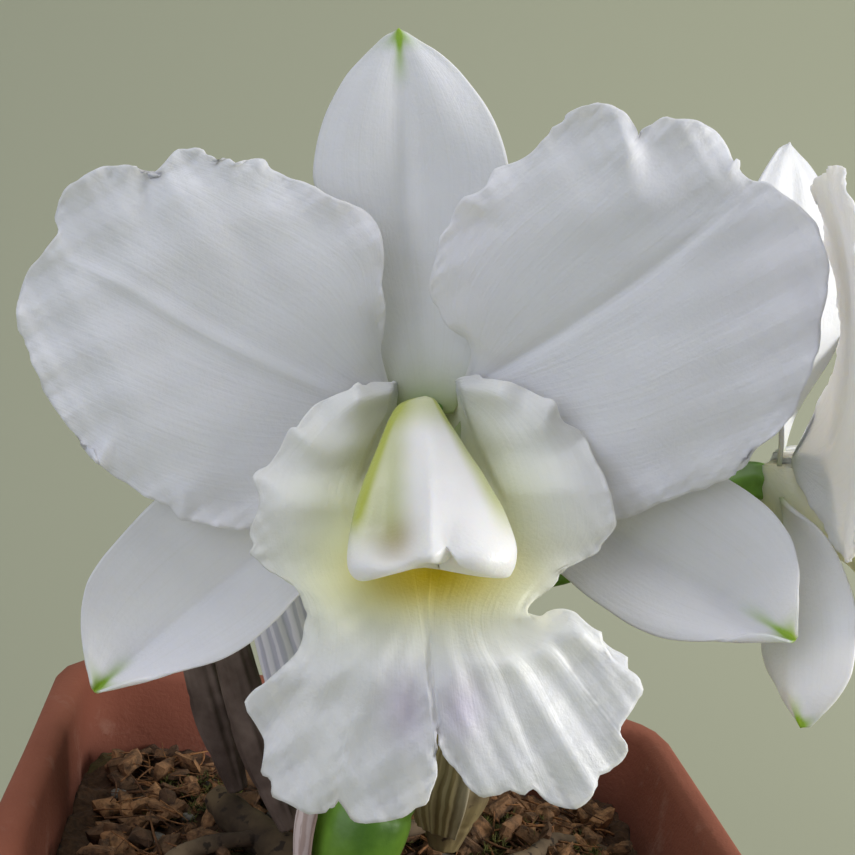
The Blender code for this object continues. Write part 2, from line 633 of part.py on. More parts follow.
def potting_mix(where):
    """Mix that fills the pot: a lumpy top with chips in it, inside the pot's walls."""
    bm = bmesh.new()
    bmesh.ops.create_grid(bm, x_segments=MIX_CELLS, y_segments=MIX_CELLS, size=POT_TOP / 2 * MM)
    rng = random.Random(CHIP_SEED)
    for vert in bm.verts:
        x, y = vert.co.x / MM, vert.co.y / MM
        swell = 1.4 * math.sin(0.13 * x + 0.6) * math.cos(0.11 * y) - 0.0004 * (x * x + y * y)
        vert.co.z = (MIX_LEVEL + swell + rng.uniform(-MIX_LUMP, MIX_LUMP)) * MM
    rim = [e for e in bm.edges if e.is_boundary]
    grown = bmesh.ops.extrude_edge_only(bm, edges=rim)["geom"]
    for vert in [g for g in grown if isinstance(g, bmesh.types.BMVert)]:
        vert.co.z = 0
    bmesh.ops.holes_fill(bm, edges=[e for e in bm.edges if e.is_boundary], sides=0)
    bmesh.ops.triangulate(bm, faces=bm.faces[:])
    bmesh.ops.recalc_face_normals(bm, faces=bm.faces[:])
    body = add_mesh("potting_mix", bm, where, "mix")
    chips = collection("chips")
    for count in range(CHIP_COUNT):
        x, y = rng.uniform(-CHIP_SPREAD, CHIP_SPREAD), rng.uniform(-CHIP_SPREAD, CHIP_SPREAD)
        chip("chip_%d" % count, x, y, rng, chips)
    apply_boolean(body, "UNION", chips)
    holes = collection("holes")
    stem_cutters(holes)
    apply_boolean(body, "DIFFERENCE", holes)
    bounds = collection("bounds")
    inside_block(POT_FLOOR + GAP, POT_HEIGHT, GAP, bounds)
    apply_boolean(body, "INTERSECT", bounds)
    drop_scraps(body)
    return body


def ground_routes():
    """Routes, radii and sides of the rhizome, its branches and its roots."""
    made = [([(x, y, RHIZOME_Z) for x, y in RHIZOME], RHIZOME_RADII, 8)]
    for route in BRANCHES:
        made.append(([(x, y, RHIZOME_Z) for x, y in route], BRANCH_RADII, 8))
    for route in ROOTS:
        lifted = [(x, y, RHIZOME_Z + height) for (x, y), height in zip(route, ROOT_HEIGHTS)]
        made.append((lifted, ROOT_RADII, 6))
    return made


def rhizome(where):
    """The rhizome with its branches and roots grown into one body."""
    tools = collection("rhizome_tools")
    parts = [
        solid_from(tube("length", route, radii, tools, None, sides), tools)
        for route, radii, sides in ground_routes()
    ]
    body = parts[0]
    tools.objects.unlink(body)
    where.objects.link(body)
    body.name = "rhizome"
    body.data.materials.append(material("rhizome"))
    apply_boolean(body, "UNION", tools)
    return body


def bulb_axis(name, share):
    """Point on a pseudobulb's axis, from 0 at its base to 1 at its tip."""
    base, middle, tip = (np.array(p, float) for p in PSEUDOBULBS[name][:3])
    bend = middle - (base + tip) / 2
    return base * (1 - share) + tip * share + bend * 2 * share * (1 - share)


def bulb_radii(name):
    """Radii of a pseudobulb at even steps from its base to its tip."""
    low, wide, high = PSEUDOBULBS[name][3]
    return [low, (low + wide) / 2, wide, wide * 0.96, (wide + high) / 2, high]


def pseudobulb(name, where):
    route = [bulb_axis(name, share) for share in np.linspace(0, 1, 6)]
    return tube(name, route, bulb_radii(name), where, PSEUDOBULBS[name][4], 10, steps=11)


def sheath(name, where):
    """A papery sheath wrapped round a pseudobulb, open down one side, with a torn upper end."""
    bulb, low, high, off, opening, open_side, finish = SHEATHS[name]
    axis = Vector(bulb_axis(bulb, 1.0) - bulb_axis(bulb, 0.0)).normalized()
    right = Vector((0, 1, 0)).cross(axis).normalized()
    ahead = axis.cross(right)

    def shape(along, side):
        turn = np.radians(open_side + 180) + side * math.radians((360 - opening) / 2)
        torn = 1 + 0.05 * np.sin(3 * turn) * along - 0.10 * np.abs(side) ** 3 * along
        share = low + (high - low) * along * torn
        radius = curve_values(bulb_radii(bulb), share) + off + BLADE
        centre = np.array([bulb_axis(bulb, s) for s in share])
        out = np.cos(turn)[:, None] * np.array(right) + np.sin(turn)[:, None] * np.array(ahead)
        return centre + out * radius[:, None]

    bm = grid_on(SHEATH_CELLS, shape)
    middle = Vector(bulb_axis(bulb, (low + high) / 2)) * MM
    if sum(f.normal.dot(f.calc_center_median() - middle) for f in bm.faces) < 0:
        bmesh.ops.reverse_faces(bm, faces=bm.faces[:])
    return add_walled(name, bm, BLADE, where, finish)


def leaf(name, where):
    """A thick leaf, folded along its midrib and arched back towards its tip."""
    base, tip, facing, width = LEAVES[name]
    span = Vector(tip) - Vector(base)
    length = span.length

    def shape(along, side):
        half = width / 2 * np.clip(np.sin(math.pi * (0.03 + 0.93 * along)), 0, 1) ** 0.8
        height = LEAF_FOLD * np.abs(side) * half + LEAF_ARCH * length * along * (1 - along)
        return np.stack([side * half, along * length, height], -1)

    return sheet(name, LEAF_CELLS, shape, frame(base, facing, span), LEAF_THICK, where, "leaf")


def pedicel(name, place, route, where):
    """A pedicel that swells into the ovary behind a flower, with a knob inside the flower's centre."""
    knob = [tuple(place @ Vector((0, -2.5, depth))) for depth in OVARY_DEPTHS]
    radii = [PEDICEL_START] + [PEDICEL_RADIUS] * (len(route) - 2) + OVARY_RADII
    return tube(name, route + knob, radii, where, "green_stem", 8, steps=16)


def bract(where):
    """The small papery bract that sits under the fork."""

    def shape(along, side):
        half = BRACT_HALF * (1 - along) ** 0.6 + 0.5
        turn = side * 1.1
        out = BRACT_CLEAR + half * (np.cos(turn) - 1) + 1.5 * along**2
        return np.stack([half * np.sin(turn), -8 + 12 * along, out], -1)

    return sheet("bract", (6, 6), shape, frame(*BRACT_PLACE), BLADE, where, "sheath_pale")


def flower(prefix, place, left_petal, turns, where):
    """The seven pieces of one open flower."""
    cells = CELLS[prefix]
    blades = (
        ("dorsal_sepal", DORSAL_SEPAL, "sepal"),
        ("left_sepal", LEFT_SEPAL, "sepal"),
        ("right_sepal", RIGHT_SEPAL, "sepal"),
        ("left_petal", left_petal, "petal"),
        ("right_petal", RIGHT_PETAL, "petal"),
    )
    for name, blade, kind in blades:

        def shape(along, side, blade=blade, turn=turns[name]):
            return turned(blade_points(blade, along, side), blade, along, turn)

        sheet("%s_%s" % (prefix, name), cells[kind], shape, place, BLADE, where, "petal_white")
    lip = partial(blade_points, LIP)
    sheet(prefix + "_lip", cells["lip"], lip, place, BLADE, where, "lip_white")
    column(prefix + "_column", cells["column"], place, where)


def build():
    clear_scene()
    plant = collection("cattleya")
    pot(plant)
    potting_mix(plant)
    rhizome(plant)
    for name in PSEUDOBULBS:
        pseudobulb(name, plant)
    for name in SHEATHS:
        sheath(name, plant)
    for name in LEAVES:
        leaf(name, plant)
    main = frame(MAIN_CENTRE, MAIN_FACING, MAIN_UP)
    side = frame(SIDE_CENTRE, SIDE_FACING, SIDE_UP)
    tube("peduncle", PEDUNCLE, [PEDUNCLE_RADIUS] * 3, plant, "green_stem", 8, steps=6)
    pedicel("main_pedicel", main, MAIN_PEDICEL, plant)
    pedicel("side_pedicel", side, SIDE_PEDICEL, plant)
    bract(plant)
    flower("main", main, LEFT_PETAL, FLAT, plant)
    flower("side", side, THROWN_PETAL, TWISTED, plant)


build()
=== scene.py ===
# A white cattleya orchid in a square clay pot: how it looks.
# Metres, +Z up. Lengths in the dictionaries are millimetres, and heights are counted from the pot's rim.
import json
import math
import random

import bmesh
import bpy
import numpy as np
from mathutils import Matrix, Vector

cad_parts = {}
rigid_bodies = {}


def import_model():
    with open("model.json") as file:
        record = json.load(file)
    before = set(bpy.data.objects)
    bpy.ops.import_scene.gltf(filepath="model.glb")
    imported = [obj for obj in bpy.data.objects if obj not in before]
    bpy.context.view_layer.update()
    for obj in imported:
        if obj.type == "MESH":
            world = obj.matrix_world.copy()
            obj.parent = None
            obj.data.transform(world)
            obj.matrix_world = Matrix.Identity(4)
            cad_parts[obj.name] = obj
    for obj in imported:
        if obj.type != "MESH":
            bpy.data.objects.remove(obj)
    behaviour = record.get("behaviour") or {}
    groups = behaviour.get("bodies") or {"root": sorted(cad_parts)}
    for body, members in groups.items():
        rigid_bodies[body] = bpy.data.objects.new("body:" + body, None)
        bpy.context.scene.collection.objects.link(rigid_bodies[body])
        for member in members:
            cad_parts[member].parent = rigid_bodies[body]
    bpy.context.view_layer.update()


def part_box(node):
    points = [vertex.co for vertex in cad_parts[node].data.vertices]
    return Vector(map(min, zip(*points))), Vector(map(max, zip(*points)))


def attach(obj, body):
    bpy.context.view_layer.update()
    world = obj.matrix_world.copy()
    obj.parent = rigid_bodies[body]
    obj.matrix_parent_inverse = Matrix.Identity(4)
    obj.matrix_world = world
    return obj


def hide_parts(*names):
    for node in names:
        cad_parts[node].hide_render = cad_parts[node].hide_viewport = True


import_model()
scene = bpy.context.scene
mm = 0.001
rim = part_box("pot")[1][2] / mm  # height of the pot's rim

# The picture's viewpoint: its place, its pan, tilt and roll in degrees, and its lens.
cameraSet = {
    "place": (-34.9, -188.9, rim + 105.8), "turns": (-8.42, 79.43, 9.91), "lens": 52.63, "sensor": 36.0,
    "nearest": 10.0,
}


def makeCamera(settings):
    pan, tilt, roll = [math.radians(turn) for turn in settings["turns"]]
    data = bpy.data.cameras.new("camera")
    data.lens = settings["lens"]
    data.sensor_width = settings["sensor"]
    data.clip_start = settings["nearest"] * mm
    made = bpy.data.objects.new("camera", data)
    turn = Matrix.Rotation(pan, 4, "Z") @ Matrix.Rotation(tilt, 4, "X") @ Matrix.Rotation(roll, 4, "Z")
    made.matrix_world = Matrix.Translation(Vector(settings["place"]) * mm) @ turn
    scene.collection.objects.link(made)
    scene.camera = made


makeCamera(cameraSet)
print("camera placed")


# Small tools for materials.
def linear(code):
    srgb = [int(code[i : i + 2], 16) / 255 for i in (0, 2, 4)]
    return (*[c / 12.92 if c <= 0.04045 else ((c + 0.055) / 1.055) ** 2.4 for c in srgb], 1.0)


def addNode(tree, kind, settings=None, values=None, links=None):
    node = tree.nodes.new(kind)
    for key, value in (settings or {}).items():
        setattr(node, key, value)
    for key, value in (values or {}).items():
        node.inputs[key].default_value = value
    for key, socket in (links or {}).items():
        tree.links.new(socket, node.inputs[key])
    return node


def newMaterial(name, colour, roughness, **sockets):
    made = bpy.data.materials.new(name)
    made.use_nodes = True
    shader = made.node_tree.nodes["Principled BSDF"]
    shader.inputs["Base Color"].default_value = linear(colour)
    shader.inputs["Roughness"].default_value = roughness
    for key, value in sockets.items():
        shader.inputs[key.replace("_", " ")].default_value = value
    return made, made.node_tree, shader


def objectPlace(tree):
    return addNode(tree, "ShaderNodeTexCoord").outputs["Object"]


def mapPlace(tree):
    return addNode(tree, "ShaderNodeUVMap", {"uv_map": "UVMap"}).outputs["UV"]


def tintParts(tree):
    tint = addNode(tree, "ShaderNodeAttribute", {"attribute_name": "tint"})
    return addNode(tree, "ShaderNodeSeparateColor", links={0: tint.outputs["Color"]}).outputs


def addNoise(tree, place, scale, detail, **more):
    values = {"Scale": scale, "Detail": detail, **more}
    return addNode(tree, "ShaderNodeTexNoise", None, values, {"Vector": place}).outputs["Fac"]


def addBands(tree, count, distortion, detail, detailScale=1.0):
    # wavering lines that run the long way of a piece, counted across its map
    scale = count * math.tau / 20
    values = {"Scale": scale, "Distortion": distortion, "Detail": detail, "Detail Scale": detailScale}
    node = addNode(tree, "ShaderNodeTexWave", {"bands_direction": "X"}, values, {"Vector": mapPlace(tree)})
    return node.outputs["Fac"]


def addRange(tree, value, low, high, top=1.0):
    # 0 where value is low, and top where it is high
    values = {"From Min": low, "From Max": high, "To Max": top}
    return addNode(tree, "ShaderNodeMapRange", None, values, {"Value": value}).outputs["Result"]


def addProduct(tree, first, second):
    return addNode(tree, "ShaderNodeMath", {"operation": "MULTIPLY"}, None, {0: first, 1: second}).outputs[0]


def addMix(tree, share, first, second):
    # first and second are a colour's code or a socket
    node = addNode(tree, "ShaderNodeMix", {"data_type": "RGBA"}, None, {0: share})
    for key, colour in ((6, first), (7, second)):
        if isinstance(colour, str):
            node.inputs[key].default_value = linear(colour)
        else:
            tree.links.new(colour, node.inputs[key])
    return node.outputs[2]


def addRelief(tree, shader, *layers):
    # bumps one on another, each with its source, strength and height in millimetres
    normal = None
    for source, strength, height in layers:
        links = {"Height": source} if normal is None else {"Height": source, "Normal": normal}
        values = {"Strength": strength, "Distance": height * mm}
        normal = addNode(tree, "ShaderNodeBump", None, values, links).outputs["Normal"]
    tree.links.new(normal, shader.inputs["Normal"])


# Small tools for curves and tables.
def smoothCurve(points, share):
    # a smooth curve through evenly timed points, at shares from 0 to 1
    points = np.asarray(points, float)
    spans = len(points) - 1
    place = np.clip(share, 0, 1) * spans
    first = np.minimum(place.astype(int), spans - 1)
    f = (place - first)[..., None]
    a = points[np.maximum(first - 1, 0)]
    b = points[first]
    c = points[first + 1]
    d = points[np.minimum(first + 2, spans)]
    return 0.5 * (2 * b + (c - a) * f + (2 * a - 5 * b + 4 * c - d) * f**2 + (3 * b - a - 3 * c + d) * f**3)


def smoothValues(values, share):
    return smoothCurve(np.array(values, float)[:, None], np.asarray(share))[..., 0]


def evenCurve(points, share, rows=None):
    # the same curve timed by its length, or by the rows that some of its points stand on
    steps = 8
    fine = np.linspace(0, 1, steps * (len(points) - 1) + 1)
    way = smoothCurve(points, fine)
    gone = np.concatenate([[0], np.cumsum(np.linalg.norm(np.diff(way, axis=0), axis=1))])
    if rows:
        reached = np.interp(share * (len(rows) - 1), np.arange(len(rows)), gone[steps * np.array(rows)])
    else:
        reached = share * gone[-1]
    return smoothCurve(points, np.interp(reached, gone, fine))


def plainCurve(points, share, rows=None, keep=4):
    # the same curve without its smallest bends: about one point in keep is left, and six at least
    return smoothCurve(evenCurve(points, np.linspace(0, 1, max(6, len(points) // keep)), rows), share)


def tableValue(rows, along, across):
    # smooth value between the rows of a small table
    rows = np.asarray(rows, float)
    byRow = smoothCurve(np.eye(rows.shape[0]), along)
    byColumn = smoothCurve(np.eye(rows.shape[1]), across)
    return ((byRow @ rows) * byColumn).sum(-1)


def ease(value, low, high):
    t = np.clip((value - low) / (high - low), 0, 1)
    return t * t * (3 - 2 * t)


def bell(distance, width):
    return np.exp(-((distance / width) ** 2))


def ripple(x, y, z=0.0):
    # a cheap rolling noise between -1 and 1: three slanted waves of falling height
    a = np.sin(1.00 * x + 0.63 * y + 0.4 * z + 0.3)
    b = np.sin(-0.71 * x + 1.13 * y + 0.9 * z + 1.9)
    c = np.sin(1.57 * x - 1.31 * y - 0.7 * z + 4.1)
    return (a + b * 0.8 + c * 0.6) / 2.4


def fromLine(x, y, start, end):
    # how far along a line each place lies, and how far off it
    (ax, ay), (bx, by) = start, end
    run = np.array([bx - ax, by - ay])
    share = np.clip(((x - ax) * run[0] + (y - ay) * run[1]) / (run @ run), 0, 1)
    return share, np.hypot(x - ax - share * run[0], y - ay - share * run[1])


def standing(centre, facing, up):
    # matrix whose +Z faces the viewer of a flower or leaf and whose +Y stands up
    z = Vector(facing).normalized()
    x = Vector(up).cross(z).normalized()
    made = Matrix((x, z.cross(x), z)).transposed().to_4x4()
    made.translation = Vector(centre)
    return made


# Small tools for meshes and pieces.
def newPiece(name, bm, material, slot, *nodes):
    data = bpy.data.meshes.new(name)
    bm.normal_update()
    bm.to_mesh(data)
    bm.free()
    data.materials.append(material)
    data.shade_smooth()
    made = bpy.data.objects.new(name, data)
    scene.collection.objects.link(made)
    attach(made, "root")
    if nodes:
        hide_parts(*nodes)
    return made


def movedGrid(cells, shape):
    # a grid with its own map, moved to shape(along, side), which gives places and tints
    bm = bmesh.new()
    bm.loops.layers.uv.new("UVMap")
    tint = bm.verts.layers.float_color.new("tint")
    bmesh.ops.create_grid(bm, x_segments=cells[1], y_segments=cells[0], size=1.0, calc_uvs=True)
    flat = np.array([v.co[:2] for v in bm.verts])
    places, tints = shape((flat[:, 1] + 1) / 2, flat[:, 0])
    for vert, place, shade in zip(bm.verts, places * mm, tints):
        vert.co = place
        vert[tint] = (*shade, 1.0)
    return bm


def addWall(piece, thick, margins=None):
    # the wall grows behind the faces, and gets thinner where margins says so
    wall = piece.modifiers.new("wall", "SOLIDIFY")
    wall.thickness = thick * mm
    wall.offset = -1
    if margins is not None:
        group = piece.vertex_groups.new(name="wall")
        for index, weight in enumerate(margins):
            group.add([index], float(weight), "REPLACE")
        wall.vertex_group = "wall"


def makeSheet(name, node, cells, place, shape, material, slot, thick):
    # a sheet that faces place's +Z: shape gives its points, its tints and the share of its wall that is left
    left = {}

    def placed(along, side):
        points, tints, left["wall"] = shape(along, side)
        return points @ np.array(place.to_3x3()).T + np.array(place.translation), tints

    bm = movedGrid(cells, placed)
    bm.normal_update()
    front = place.to_3x3() @ Vector((0, 0, 1))
    if sum(face.normal.dot(front) * face.calc_area() for face in bm.faces) < 0:
        bmesh.ops.reverse_faces(bm, faces=bm.faces[:])
    addWall(newPiece(name, bm, material, slot, node), thick, left["wall"])


def extrudedRings(bm, sides, steps):
    # rings of points, each extruded from the one before it
    ring = bmesh.ops.create_circle(bm, segments=sides, radius=1.0)["verts"]
    edges = list({e for v in ring for e in v.link_edges})
    rings = [ring]
    for _ in range(steps):
        grown = bmesh.ops.extrude_edge_only(bm, edges=edges)["geom"]
        edges = [g for g in grown if isinstance(g, bmesh.types.BMEdge) and g.is_boundary]
        after = {v for e in edges for v in e.verts}
        ring = [next(e.other_vert(v) for e in v.link_edges if e.other_vert(v) in after) for v in ring]
        rings.append(ring)
    return rings


def addTube(bm, route, radii, sides, steps, shape=None):
    # a closed tube along a smooth route, mapped round it and along it
    share = np.linspace(0, 1, steps + 1)
    centre = smoothCurve(route, share)
    width = smoothValues(radii, share)
    run = np.gradient(centre, axis=0)
    run /= np.linalg.norm(run, axis=1)[:, None]
    up = np.array([0.0, 1.0, 0.0]) if abs(run[0][1]) < 0.9 else np.array([1.0, 0.0, 0.0])
    turn = np.linspace(0, math.tau, sides, endpoint=False)
    uv = bm.loops.layers.uv.verify()
    rings = extrudedRings(bm, sides, steps)
    mapped = {}
    for step, ring in enumerate(rings):
        right = np.cross(run[step], up)
        right /= np.linalg.norm(right)
        ahead = np.cross(right, run[step])
        swell = shape(share[step], turn) if shape else np.ones(sides)
        out = np.cos(turn)[:, None] * right + np.sin(turn)[:, None] * ahead
        for index, (vert, place) in enumerate(zip(ring, centre[step] + out * (width[step] * swell)[:, None])):
            vert.co = place * mm
            mapped[vert] = (index / sides, step / steps)
    for vert, (u, v) in mapped.items():
        for loop in vert.link_loops:
            seam = u == 0 and any(mapped[other][0] > 0.5 for other in loop.face.verts)
            loop[uv].uv = (1.0 if seam else u, v)
    for ring in (rings[0], rings[-1]):
        cap = bmesh.ops.contextual_create(bm, geom=ring)["faces"]
        bmesh.ops.poke(bm, faces=cap)


# Petals, sepals and lip. Each lies on its flower's face plane, x to the right and y up from the flower's
# centre: rib is its midrib, edgeOne and edgeTwo its sides, farOne and farTwo its outer margin up to the rib's
# end and past it. depth tells how far it stands forward: rows from edge one to edge two, from base to margin.
# waves and crimp are the heights of its margin's slow and fine waves, ridge the height and width of its
# midrib, and each pleat starts at the margin, ends inside, and has a height and a width.
eye = (0.3, -4.2, 162.0)  # the point in front of a flower from which its outlines are seen

dorsalSepal = {
    "rib": [(0.1, 1.6), (-1.0, 11.0), (-2.2, 20.1), (-2.7, 30.5), (-3.1, 39.5), (-3.4, 47.6)],
    "edgeOne": [
        (-4.6, 0.4), (-6.2, 5.2), (-8.2, 10.8), (-10.2, 16.5), (-12.3, 21.6), (-13.7, 25.3),
        (-14.5, 28.1), (-14.3, 31.1), (-13.7, 34.0), (-12.8, 36.7), (-11.5, 39.3), (-10.1, 41.6),
        (-8.4, 43.5), (-6.7, 45.2), (-5.3, 46.5), (-4.3, 47.0),
    ],
    "farOne": [(-4.3, 47.0), (-3.8, 47.3), (-3.4, 47.6)],
    "farTwo": [(-3.4, 47.6), (-3.0, 47.3), (-2.3, 47.0)],
    "edgeTwo": [
        (5.2, 0.4), (6.6, 5.2), (7.6, 9.7), (8.7, 14.3), (9.7, 19.4), (10.5, 24.0), (11.0, 27.2),
        (10.8, 29.9), (10.2, 32.4), (9.2, 35.1), (7.8, 37.7), (5.8, 40.4), (3.9, 42.6),
        (1.7, 44.5), (-0.6, 45.9), (-2.3, 47.0),
    ],
    "depth": [
        (-9.8, -9.8, -9.8, -9.8, -9.8),
        (-7.6, -8.0, -8.3, -8.0, -7.6),
        (-5.6, -6.2, -6.8, -6.2, -5.6),
        (-5.0, -5.0, -5.6, -5.0, -5.0),
        (-5.5, -4.6, -4.8, -4.6, -5.5),
        (-5.5, -5.2, -5.0, -5.2, -5.5),
    ],
    "waves": 0.0,
    "crimp": 0.0,
    "ridge": (-0.45, 1.6),
    "pleats": [],
}
# The main flower's dorsal sepal, whose base reaches down behind the column.
loweredSepal = dict(
    dorsalSepal,
    rib=[(0.3, -2.6)] + dorsalSepal["rib"][1:],
    edgeOne=[(-3.0, -2.4), (-5.6, 2.6)] + dorsalSepal["edgeOne"][2:],
    edgeTwo=[(3.6, -2.4), (6.2, 2.6)] + dorsalSepal["edgeTwo"][2:],
)
leftSepal = {
    "rib": [(-3.6, -4.6), (-11.3, -11.0), (-21.1, -19.8), (-30.5, -27.5), (-37.6, -33.7), (-42.9, -38.4)],
    "edgeOne": [
        (-4.8, -3.0), (-9.5, -3.5), (-13.6, -4.5), (-18.1, -5.4), (-22.7, -7.0), (-27.2, -9.1),
        (-31.8, -11.5), (-35.1, -13.7), (-37.6, -16.2), (-40.2, -19.1), (-42.1, -21.4),
        (-43.7, -24.0), (-44.4, -26.6), (-44.6, -28.9), (-44.5, -31.2), (-44.1, -33.8),
        (-43.5, -35.6), (-43.2, -37.2),
    ],
    "farOne": [(-43.2, -37.2), (-43.1, -37.8), (-42.9, -38.4)],
    "farTwo": [(-42.9, -38.4), (-42.5, -38.4), (-42.0, -38.2)],
    "edgeTwo": [
        (-2.2, -6.2), (-3.2, -11.0), (-5.2, -16.2), (-8.4, -20.5), (-12.3, -23.5), (-16.2, -25.8),
        (-18.8, -28.6), (-21.4, -31.0), (-23.3, -32.5), (-26.6, -34.3), (-30.5, -35.4),
        (-34.3, -36.2), (-38.2, -36.8), (-42.0, -38.2),
    ],
    "depth": [
        (-9.8, -9.8, -9.8, -9.8, -9.8),
        (-7.4, -7.4, -7.8, -7.6, -7.2),
        (-5.6, -5.6, -6.4, -5.8, -5.0),
        (-4.4, -4.8, -5.8, -4.8, -3.6),
        (-2.6, -3.6, -4.8, -3.4, -2.0),
        (-0.6, -1.0, -1.6, -1.0, -0.6),
    ],
    "waves": 0.0,
    "crimp": 0.0,
    "ridge": (-0.3, 1.4),
    "pleats": [],
}
rightSepal = dict(
    leftSepal,
    rib=[(3.6, -4.6), (11.7, -8.7), (21.4, -15.2), (31.1, -21.8), (40.2, -27.0), (48.0, -31.8)],
    edgeOne=[
        (4.8, -3.0), (9.7, -3.0), (14.9, -3.2), (20.1, -3.8), (25.3, -4.8), (30.5, -6.2),
        (35.6, -8.6), (39.3, -10.9), (42.1, -12.7), (44.7, -14.8), (46.5, -17.0), (47.6, -18.9),
        (48.2, -21.1), (48.5, -23.3), (48.2, -25.5), (48.0, -27.6), (48.0, -29.4), (48.0, -31.0),
    ],
    farOne=[(48.0, -31.0), (48.1, -31.5), (48.0, -31.8)],
    farTwo=[(48.0, -31.8), (47.6, -31.9), (47.0, -31.7)],
    edgeTwo=[
        (2.2, -6.2), (3.5, -10.4), (5.8, -14.0), (9.1, -17.1), (13.0, -20.0), (17.5, -23.1),
        (20.7, -25.8), (24.0, -28.1), (26.8, -29.9), (30.5, -31.4), (34.3, -31.9), (38.0, -31.7),
        (41.1, -31.0), (44.1, -30.9), (47.0, -31.7),
    ],
)
leftPetal = {
    "rib": [(-4.4, 0.0), (-10.4, -0.1), (-19.4, 3.6), (-29.2, 8.4), (-39.5, 14.4), (-49.2, 18.8)],
    "edgeOne": [
        (-4.4, 0.6), (-4.8, 1.6), (-5.4, 2.8), (-5.7, 4.1), (-5.8, 5.8), (-5.4, 7.8), (-5.1, 10.0),
        (-5.2, 11.9), (-5.6, 13.6), (-5.5, 15.4), (-5.3, 17.2), (-5.4, 19.1), (-5.7, 20.9),
        (-6.5, 22.6), (-7.9, 24.0), (-9.7, 24.8), (-11.3, 25.4), (-13.0, 26.2), (-14.5, 27.1),
        (-15.8, 27.7), (-17.4, 28.1), (-18.8, 28.8), (-20.0, 29.4), (-20.7, 30.5), (-21.8, 30.7),
        (-22.9, 30.5), (-24.0, 29.8), (-24.8, 30.3), (-25.5, 30.7), (-26.7, 30.3), (-27.6, 31.0),
        (-28.3, 31.2), (-28.8, 31.8),
    ],
    "farOne": [
        (-28.8, 31.8), (-29.7, 32.1), (-30.8, 31.9), (-32.0, 31.9), (-32.9, 31.2), (-33.8, 30.1),
        (-34.7, 29.2), (-35.4, 28.6), (-35.6, 27.9), (-36.0, 28.8), (-36.9, 29.3), (-37.8, 29.7),
        (-38.8, 29.9), (-40.2, 29.7), (-41.6, 29.7), (-42.9, 29.2), (-44.2, 28.5), (-45.1, 27.8),
        (-46.1, 27.3), (-46.9, 26.4), (-47.3, 25.4), (-47.7, 24.2), (-48.0, 22.8), (-47.5, 21.4),
        (-48.1, 20.2), (-49.2, 18.8),
    ],
    "farTwo": [
        (-49.2, 18.8), (-50.2, 17.6), (-51.1, 16.7), (-51.7, 15.6), (-52.3, 14.0), (-52.7, 12.4),
        (-53.0, 11.1), (-52.9, 9.7), (-52.7, 8.3), (-52.0, 7.4), (-51.8, 6.5), (-51.3, 5.6),
        (-51.1, 4.4), (-50.5, 3.2), (-49.9, 2.1), (-49.6, 0.8), (-48.9, -0.4), (-48.1, -1.6),
        (-47.3, -2.7), (-46.3, -4.1), (-45.1, -5.3), (-44.2, -6.5), (-42.8, -7.1),
    ],
    "edgeTwo": [
        (-4.4, -0.7), (-5.0, -1.9), (-6.1, -3.8), (-8.2, -5.8), (-10.4, -8.7), (-12.3, -11.3),
        (-14.6, -13.7), (-17.2, -15.7), (-19.8, -16.8), (-22.0, -17.4), (-24.0, -17.5),
        (-25.5, -17.3), (-27.3, -17.0), (-29.2, -16.5), (-30.7, -16.3), (-31.8, -16.2),
        (-32.5, -15.3), (-33.4, -14.3), (-34.3, -14.0), (-35.1, -13.6), (-36.3, -13.2),
        (-37.3, -12.4), (-38.5, -11.5), (-39.9, -10.8), (-41.1, -9.9), (-42.1, -8.9),
        (-42.6, -8.0), (-42.8, -7.1),
    ],
    "depth": [
        (-7.8, -7.8, -7.8, -7.8, -7.8),
        (-3.2, -2.8, -3.0, -4.0, -5.0),
        (-0.6, 0.0, -0.6, -1.4, -2.0),
        (0.6, 1.2, 0.4, 0.6, -0.6),
        (0.8, 2.2, 1.4, 1.6, 0.2),
        (1.4, 1.6, 0.6, 1.0, 0.2),
    ],
    "waves": 0.9,
    "crimp": 0.3,
    "ridge": (0.45, 1.2),
    "pleats": [
        ((-38.4, 29.4), (-40.0, 20.0), 1.1, 1.6), ((-35.7, 28.4), (-35.8, 20.0), -0.9, 1.2),
        ((-42.2, -8.6), (-39.4, -2.4), 1.1, 0.9), ((-31.8, -15.8), (-30.8, -11.4), 0.7, 1.1),
        ((-28.4, 31.2), (-27.6, 27.4), 0.6, 0.8), ((-25.2, 30.2), (-24.6, 27.0), 0.5, 0.8),
        ((-21.6, 30.4), (-21.0, 26.4), 0.6, 0.9), ((-24.0, 20.0), (-15.0, 6.0), -0.5, 2.4),
    ],
}
